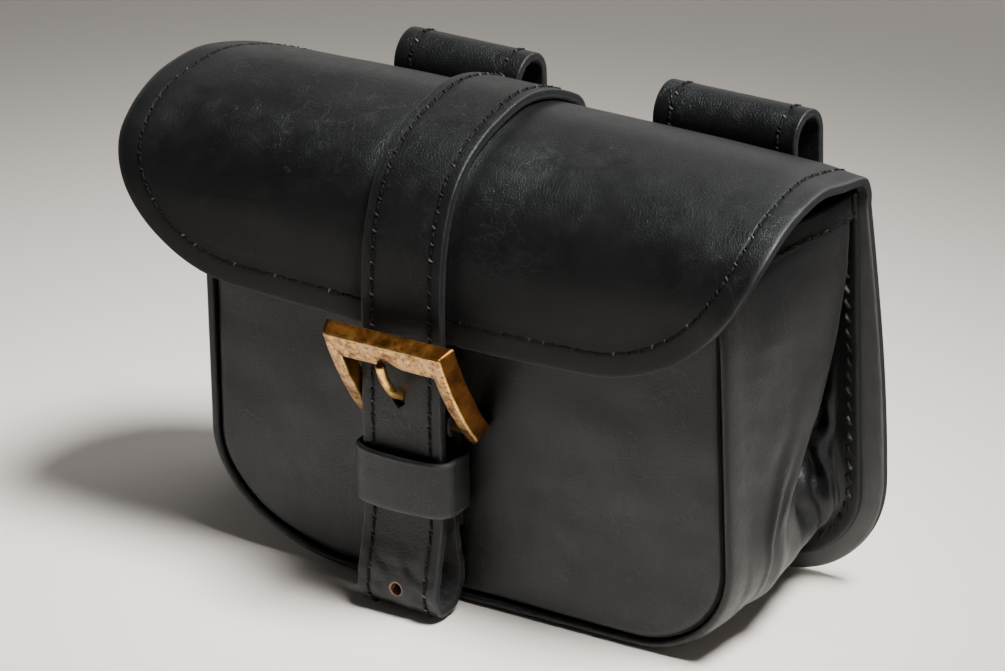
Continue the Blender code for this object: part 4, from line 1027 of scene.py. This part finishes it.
def cut_hole(piece, width, height, centre, depth, sides=24):
    """Cut a slot with round ends through a piece along Y, and apply the cut."""
    angle = np.linspace(0, 2 * np.pi, sides + 1)[:-1] + 0.01
    z = width / 2 * np.sin(angle) + max(0.0, (height - width) / 2) * np.sign(np.sin(angle))
    ends = points_of(width / 2 * np.cos(angle), [[-depth], [depth]], z) + centre + ORIGIN
    faces = [list(range(sides)), list(range(2 * sides - 1, sides - 1, -1))]
    faces += [[k, sides + k, sides + (k + 1) % sides, (k + 1) % sides] for k in range(sides)]
    mesh = bpy.data.meshes.new("punch")
    mesh.from_pydata((ends.reshape(-1, 3) * MM).tolist(), [], faces)
    punch = bpy.data.objects.new("punch", mesh)
    bpy.context.collection.objects.link(punch)
    cut = piece.modifiers.new("hole", "BOOLEAN")
    cut.operation = "DIFFERENCE"
    cut.solver = "EXACT"
    cut.object = punch
    bpy.context.view_layer.update()
    done = bpy.data.meshes.new_from_object(piece.evaluated_get(bpy.context.evaluated_depsgraph_get()))
    piece.modifiers.remove(cut)
    piece.data = done
    bpy.data.objects.remove(punch, do_unlink=True)


def closing_strap(finish):
    """Closing strap with its seams pulled in, the prong's slot, a spare hole and two rows of stitches."""
    line = strap_side_view()
    out = -left_of(line)
    line_along = lengths(line)
    top = line_along[np.argmax(line[:, 1])]
    lowest = np.argmin(line[:, 1])
    hole_at = line_along[np.argmin(np.abs(line[:lowest, 1] - SPARE_HOLE_Z))]

    def trim(along):
        """Rounded rear corners, and the rear end narrower beside the left belt loop."""
        corner = 5 * (1 - np.sqrt(1 - np.clip(1 - along / 5, 0, 1) ** 2))
        return corner + 4.6 * rise(along, 13, 7), corner

    def marks_at(along, side, x):
        """Two grooves along the seams, fine cross folds on the front run and stronger ones round the tail."""
        free = rise(along, 14, 18)
        wrinkle = np.clip(ripple(along, 0.12 * x, 3.4, 41) * 1.3 - 0.3, 0, 1)
        front = rise(along, top + 70, top + 95) * (1 - rise(along, top + 108, top + 120))
        tail = rise(along, top + 150, top + 175) * rise(np.hypot(along - hole_at, x - STRAP_X), 3.2, 6.5)
        slanting = ripple(0.85 * along - 0.5 * x, 0.3 * x, 3.4, 42)
        # Round the tail the crests of the folds get a painted highlight and their valleys painted shade
        valley, crest_highlight = np.clip(slanting, 0, 1), np.clip(-1.4 * slanting - 0.5, 0, 1)
        dent = 0.2 * bell(side, STRAP_SEAM, 0.6) * free + 0.12 * wrinkle * front
        dent = dent + (0.3 * wrinkle + 0.45 * valley) * tail
        # Dark in the seam grooves, and painted shade in the tail's valleys
        dark = bell(side, STRAP_SEAM, 0.5) * free + 0.7 * valley * tail
        return 0.7 * crest_highlight * tail, np.clip(dark, 0, 1), dent

    piece = strip("closing_strap_leather", line, out, STRAP_THICK, STRAP_X, STRAP_WIDTH, finish, 1.0, trim,
                  marks_at)
    slot_place = (STRAP_X - 0.5, STRAP_RUN, HEEL_Z + PRONG_HOLE_RISE - 0.8)
    cut_hole(piece, PRONG_HOLE_WIDTH, PRONG_HOLE_HEIGHT, slot_place, 5)
    cut_hole(piece, SPARE_HOLE, SPARE_HOLE, (STRAP_X, line[:, 0].min(), SPARE_HOLE_Z), 5)
    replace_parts(piece, "closing_strap")
    keep = (line_along > 16) & (np.arange(len(line)) < lowest + 6)
    side_seams("strap_stitches", line[keep], out[keep], STRAP_THICK, STRAP_X, STRAP_WIDTH, STRAP_SEAM)


def keeper(finish):
    """Keeper: a closed band round both layers of the strap, its front bowed out and its cut edges rounded."""
    half = STRAP_WIDTH / 2 + FIT_GAP + KEEPER_WALL / 2 + 0.9
    front = STRAP_RUN - STRAP_THICK / 2 - FIT_GAP - KEEPER_WALL / 2
    back = STRAP_BACK + STRAP_THICK / 2 + FIT_GAP + KEEPER_BACK_WALL / 2
    small, wide, deep = 0.9, 5.5, 3.6
    outline = np.vstack([
        arc((half - small, back - small), small, 0, 90, 6),
        arc((-half + small, back - small), small, 90, 180, 6),
        arc((-half + wide, front + deep), (wide, deep), 180, 270, 12),
        arc((half - wide, front + deep), (wide, deep), 270, 360, 12),
        [(half, back - small)],
    ])
    ring = walk(outline, np.linspace(0, lengths(outline)[-1], 121))[:-1]
    bow = 1.9 * np.cos(np.pi / 2 * np.clip(ring[:, 0] / half, -1, 1)) * rise(ring[:, 1], back, front + deep)
    ring = ring - points_of(0.0, bow)
    x, y = ring.T[..., None]
    out_x, out_y = -left_of_ring(ring).T[..., None]
    heights = spaced(KEEPER_BOTTOM, KEEPER_BOTTOM + KEEPER_HEIGHT + 1.2, 1.0)
    edge = np.minimum(heights - heights[0], heights[-1] - heights)
    thick = np.where(y > back - 0.2, KEEPER_BACK_WALL, KEEPER_WALL) / 2 * round_edge(edge, 0.8)
    wear = np.clip(0.7 * bell(edge, 0.7, 0.6) + 0.25 * bell(np.abs(x), half, 1.2), 0, 1)
    piece = sheet("keeper_leather", points_of(x + STRAP_X, y, heights), points_of(out_x, out_y, 0 * heights),
                  thick, finish, wear, closed=True)
    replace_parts(piece, "keeper_loop")


def chape(finish):
    """Chape: the strip up from the front panel and round the heel bar, slotted for the prong's eye."""
    plate = -BODY_DEPTH - FIT_GAP - CHAPE_THICK / 2
    wrap = arc((HEEL_Y, HEEL_Z), HEEL_BAR / 2 + FIT_GAP + CHAPE_THICK / 2, 0, CHAPE_WRAP, 40)
    start = points_of(plate, [CHAPE_END, KEEPER_BOTTOM, KEEPER_BOTTOM + KEEPER_HEIGHT])
    line = np.vstack([dense_curve(np.vstack([start, wrap[:1]]))[:-1], wrap])
    piece = strip("chape_leather", line, -left_of(line), CHAPE_THICK, STRAP_X, CHAPE_WIDTH, finish)
    room = HEEL_BAR + 2 * EYE_THICK + 4 * FIT_GAP
    cut_hole(piece, CHAPE_SLOT, room + CHAPE_SLOT / 2, (STRAP_X, HEEL_Y, HEEL_Z), 1.5 * room)
    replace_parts(piece, "buckle_chape")


# Belt loops

def belt_loop(name, middle, width, top, finish):
    """Belt loop: a strip up the back, folded over at the top, its leaves sewn together low on the back."""
    front = BACK_WALL + FIT_GAP + LOOP_WALL / 2
    ring = LOOP_ROUND - LOOP_WALL / 2
    fold_z = top - LOOP_ROUND
    together = front + LOOP_WALL + FIT_GAP
    fold = arc((front + ring, fold_z), ring, 180, 0, 40)
    leaf = LOOP_LEAF * (front + 2 * ring - together, fold_z - LOOP_JOINT) + (together, LOOP_JOINT)
    end = points_of(together, [(LOOP_JOINT + LOOP_BOTTOM) / 2, LOOP_BOTTOM])
    up = points_of(front, np.linspace(LOOP_BOTTOM, fold_z, 61)[:-1])
    line = np.vstack([up, fold[:-1], dense_curve(np.vstack([fold[-1:], leaf, end]))])
    out = left_of(line)

    def marks_at(along, side, x):
        """A groove along both seams."""
        return 0.0, bell(side, LOOP_SEAM, 0.45), 0.2 * bell(side, LOOP_SEAM, 0.7)

    piece = strip(name + "_leather", line, out, LOOP_WALL, middle, width, finish, 1.5, marks_at=marks_at)
    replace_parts(piece, name)
    keep = np.flatnonzero(lengths(line) > top - LOOP_BOTTOM - 40)[:-8]
    side_seams(name + "_stitches", line[keep], out[keep], LOOP_WALL, middle, width, LOOP_SEAM)
    across = middle + (width / 2 - LOOP_SEAM) * np.linspace(-1, 1, 30)
    foot = points_of(across, together + LOOP_WALL / 2 - 0.1, LOOP_BOTTOM + LOOP_SEAM)
    seam(name + "_stitches_foot", foot, points_of(0 * across, 1.0, 0.0))


# Buckle

def buckle_lean():
    """Angle of the frame's face from upright at its heel, and the radius of its curve."""
    radius = BUCKLE_LENGTH / math.radians(BUCKLE_BEND)
    chord = 2 * radius * math.sin(BUCKLE_UNDER / (2 * radius))
    forward = HEEL_Y - (STRAP_RUN - STRAP_THICK / 2 - BUCKLE_CLEAR)
    back = BUCKLE_THICK / 2
    mean = math.atan2(back, chord) + math.asin(forward / math.hypot(chord, back))
    return mean + BUCKLE_UNDER / (2 * radius), radius


def buckle_place(points):
    """Points in the buckle's own frame (across, up its curved face, out of it) put on the pouch."""
    heel, radius = buckle_lean()
    tilt = heel - points[..., 1] / radius
    middle_y = HEEL_Y - HEEL_BAR_BACK * math.cos(heel)
    y = middle_y - radius * (np.cos(tilt) - math.cos(heel)) - points[..., 2] * np.cos(tilt)
    z = HEEL_Z + radius * (math.sin(heel) - np.sin(tilt)) - points[..., 2] * np.sin(tilt)
    return points_of(BUCKLE_X + points[..., 0], y, z)


def closed_loft(name, rings, finish, marks):
    """A solid through closed rings of points, each end closed on its own middle."""
    index = numbered(rings.shape[:2])
    points = np.vstack([rings.reshape(-1, 3), rings[0].mean(axis=0), rings[-1].mean(axis=0)])
    faces = round_quads(index).tolist()
    for ring, pole in ((index[0], index.size), (index[-1], index.size + 1)):
        faces += points_of(ring, np.roll(ring, -1), pole).tolist()
    kept = {key: np.append(value, [value[0].mean(), value[-1].mean()]) for key, value in marks.items()}
    return make_piece(name, points, faces, finish, kept)


def buckle_frame(finish):
    """Buckle frame: four corner lines along the U of side bars and top bar, joined by a rounded section.

    At each corner of the section the outline leaves one side at a distance e and joins the next by a
    quarter round, so the point at angle a is the corner + e (1 - sin a) towards one neighbour and
    e (1 - cos a) towards the other.
    """
    round_end = SIDE_BAR / 2
    window = BUCKLE_WIDTH / 2 - SIDE_BAR
    t = np.linspace(-1, 1, 27)
    arch = np.where(t < 0, np.sqrt(1 - t ** 2), 1 - rise(t, 0, 1))
    notch_x = STRAP_X - BUCKLE_X + NOTCH_SHIFT + np.where(t < 0, NOTCH_LEFT, NOTCH_RIGHT) * t
    notch = points_of(notch_x, BUCKLE_UNDER + NOTCH_DEPTH * arch)
    over = points_of(notch_x, BUCKLE_LENGTH - round_end)
    share = np.linspace(0.0, 1.0, 30)
    close = np.radians(np.linspace(84.0, 0.0, 12)[:-1])
    ramp = np.linspace(0, 1, 16)[1:-1, None]

    def edge_line(wide, middle, bar):
        """Round the left arm's end, up the arm, along the top bar's line and down the right arm."""
        arm = np.vstack([points_of(wide * np.cos(close) - middle, -round_end * np.sin(close)),
                         points_of(wide - middle, bar[0, 1] * share)])
        other = arm[::-1] * (-1, 1)
        return np.vstack([arm, arm[-1] + (bar[0] - arm[-1]) * ramp, bar,
                          bar[-1] + (other[0] - bar[-1]) * ramp, other])

    corners = []
    for out, slant in ((BUCKLE_THICK / 2, BUCKLE_SLANT), (-BUCKLE_THICK / 2, 0.0)):
        half = BUCKLE_WIDTH / 2 - slant
        middle, wide = (half + window) / 2, (half - window) / 2
        lines = (edge_line(wide, middle, notch), edge_line(-wide, middle, over))
        corners += [points_of(*line.T, out) for line in lines]
    square = [corners[k] for k in (0, 1, 3, 2)]
    section, ridge, face = [], [], []
    for k, (corner, edge) in enumerate(zip(square, (1.0, 0.75, 0.5, 0.5))):
        before, after = square[k - 1], square[(k + 1) % 4]
        for turn in np.radians(np.linspace(0, 90, 5)):
            section.append(corner + unit(before - corner) * edge * (1 - math.sin(turn))
                           + unit(after - corner) * edge * (1 - math.cos(turn)))
            ridge.append((1.0 if k < 2 else 0.4) * math.sin(2 * turn))
            face.append(float((k == 0 and turn > 0.8) or (k == 1 and turn < 0.8)))
        for part in (0.35, 0.65):
            section.append(corner + (after - corner) * part)
            ridge.append(0.0)
            face.append(float(k == 0))
    local = np.stack(section, axis=1)
    hammer = 0.05 * ripple(local[..., 0] + local[..., 2], local[..., 1], 5, 31)
    local = local + unit(local - local.mean(axis=1, keepdims=True)) * hammer[..., None]
    worn = np.clip(np.array(ridge) * (0.75 + 0.5 * ripple(local[..., 0], local[..., 1], 7, 32)), 0, 1)
    marks = {"wear": worn, "face": np.broadcast_to(face, worn.shape)}
    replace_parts(closed_loft("buckle_frame_brass", buckle_place(local), finish, marks), "buckle_frame")
    reach = BUCKLE_WIDTH / 2 - round_end
    bar = arc((HEEL_Y, HEEL_Z), HEEL_BAR / 2, 0, 360, 16)[:-1]
    bar = points_of(BUCKLE_X + np.linspace(-reach, reach, 30)[:, None], bar[:, 0], bar[:, 1])
    some = np.full(bar.shape[:2], 0.3)
    closed_loft("heel_bar_brass", bar, finish, {"wear": some, "face": some})


def buckle_prong(finish):
    """Prong: a round bar with a blunt end, its eye round the heel bar, through the strap to the notch."""
    ring = HEEL_BAR / 2 + FIT_GAP + EYE_THICK / 2
    eye = arc((HEEL_Y, HEEL_Z), ring, PRONG["start"], PRONG["end"], 40)
    slot_z = HEEL_Z + PRONG_HOLE_RISE
    lead = (HEEL_Y - PRONG["out"] * (HEEL_Y - STRAP_RUN),
            HEEL_Z + ring + PRONG["up"] * (slot_z - HEEL_Z - ring))
    front = PRONG_PATH * (-1, 1) + (STRAP_RUN, slot_z)
    line = np.vstack([eye[:-1], dense_curve(np.vstack([eye[-1:], lead, front]), 16)])
    along = lengths(line)[:, None]
    swell = np.clip((along - along[len(eye) - 1]) / (2 * PRONG_THICK), 0, 1)
    end = np.minimum(along, along[-1] - along)
    radius = (EYE_THICK / 2 + (PRONG_THICK - EYE_THICK) / 2 * swell) * round_edge(end + 0.1, 0.45)
    angle = np.linspace(0, 2 * np.pi, 25)[:-1]
    y, z = line.T[..., None] + left_of(line).T[..., None] * (radius * np.sin(angle))
    rings = points_of(STRAP_X + radius * np.cos(angle), y, z)
    blunt = rise(end, 0.1, 0.5)
    worn = np.clip(0.5 + 0.5 * ripple(rings[..., 0] * 2, rings[..., 2], 5, 33), 0, 1) * blunt
    piece = closed_loft("buckle_prong_brass", rings, finish, {"wear": worn, "face": 0 * worn + 0.5 * blunt})
    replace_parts(piece, "buckle_prong")


# Floor, light and camera

def floor_and_light():
    """Plain pale floor under a sky that is bright round the horizon and dark overhead, and soft lamps."""
    corners = [(x * FLOOR_HALF, y * FLOOR_HALF, 0) for x, y in ((-1, -1), (1, -1), (1, 1), (-1, 1))]
    mesh = bpy.data.meshes.new("floor")
    mesh.from_pydata(corners, [], [(0, 1, 2, 3)])
    floor = bpy.data.objects.new("floor", mesh)
    bpy.context.collection.objects.link(floor)
    pale = Finish("pale floor", Roughness=0.7)
    tone = pale.mix(pale.noise(3.0, 4.0), (0.86, 0.79, 0.71, 1.0), (0.90, 0.84, 0.77, 1.0))
    mesh.materials.append(pale.done(Base_Color=tone))

    world = bpy.data.worlds.new("soft sky")
    world.use_nodes = True
    tree = world.node_tree
    place = tree.nodes.new("ShaderNodeTexCoord")
    tilted = tree.nodes.new("ShaderNodeVectorMath")
    tilted.operation = "DOT_PRODUCT"
    tilted.inputs[1].default_value = SKY_AXIS
    ramp = tree.nodes.new("ShaderNodeValToRGB")
    tree.links.new(place.outputs["Generated"], tilted.inputs[0])
    tree.links.new(tilted.outputs["Value"], ramp.inputs[0])
    tree.links.new(ramp.outputs["Color"], tree.nodes["Background"].inputs["Color"])
    while len(ramp.color_ramp.elements) < len(SKY):
        ramp.color_ramp.elements.new(0.5)
    for stop, (position, value) in zip(ramp.color_ramp.elements, SKY):
        stop.position = position
        stop.color = (value, value * 0.98, value * 0.95, 1.0)
    bpy.context.scene.world = world
    for name, place, width, power, cone in LAMPS:
        data = bpy.data.lights.new(name, "SPOT" if cone else "AREA")
        data.energy = power
        if cone:
            data.spot_size = math.radians(cone)
            data.spot_blend = 1.0
            data.shadow_soft_size = width / 2
        else:
            data.shape = "SQUARE"
            data.size = width
        lamp = bpy.data.objects.new(name, data)
        turn = (Vector(LAMP_AIM) - Vector(place)).to_track_quat("-Z", "Y").to_matrix().to_4x4()
        lamp.matrix_world = Matrix.Translation(place) @ turn
        bpy.context.collection.objects.link(lamp)


def photo_camera():
    """Camera at the photograph's angle: the target's point falls on its pixel at the known scale."""
    azimuth, elevation, roll = (math.radians(v) for v in (VIEW_AZIMUTH, VIEW_ELEVATION, VIEW_ROLL))
    back = Vector((math.sin(azimuth) * math.cos(elevation), -math.cos(azimuth) * math.cos(elevation),
                   math.sin(elevation)))
    right = Vector((math.cos(azimuth), math.sin(azimuth), 0))
    up = back.cross(right)
    right, up = right * math.cos(roll) + up * math.sin(roll), up * math.cos(roll) - right * math.sin(roll)
    across = (TARGET_PIXEL[0] - IMAGE_WIDTH / 2) / PIXELS_PER_METRE
    above = (IMAGE_HEIGHT / 2 - TARGET_PIXEL[1]) / PIXELS_PER_METRE
    target = Vector((ORIGIN - (0, BODY_DEPTH, 0)) * MM)
    data = bpy.data.cameras.new("camera")
    data.sensor_width = SENSOR
    data.lens = FOCAL_PIXELS / IMAGE_WIDTH * SENSOR
    data.clip_end = 50
    camera = bpy.data.objects.new("camera", data)
    place = target + back * FOCAL_PIXELS / PIXELS_PER_METRE - right * across - up * above
    camera.matrix_world = Matrix.Translation(place) @ Matrix((right, up, back)).transposed().to_4x4()
    bpy.context.collection.objects.link(camera)
    bpy.context.scene.camera = camera


black_leather = leather("black leather")
tail_front = strap_side_view()[:, 0].min() - STRAP_THICK / 2
hole_middle = (ORIGIN + (STRAP_X, tail_front, SPARE_HOLE_Z)) * MM
strap_leather = leather("black strap leather", tone=0.0025, rough=0.43, grain=1.0, creases=1.3,
                        hole=(*hole_middle, SPARE_HOLE / 2 * MM))
thread = thread_finish("black waxed thread", 0.0018, 0.006)
# Paler thread: at the holes its paleness is a painted highlight of the hole's rim
pale_thread = thread_finish("pale thread at the holes", 0.006, 0.10)
brass = brass_finish("antique brass")

flap_stitches(*flap_and_back(black_leather))
front_panel(black_leather)
gusset_stitches(*gusset(black_leather))
closing_strap(strap_leather)
keeper(strap_leather)
chape(strap_leather)
for row in BELT_LOOPS:
    loop_middle = row["side"] * LOOP_SPACING / 2 + LOOP_SHIFT
    belt_loop(row["name"], loop_middle, row["width"] * LOOP_WIDTH, row["height"] * LOOP_TOP, strap_leather)
buckle_frame(brass)
buckle_prong(brass)
floor_and_light()
photo_camera()
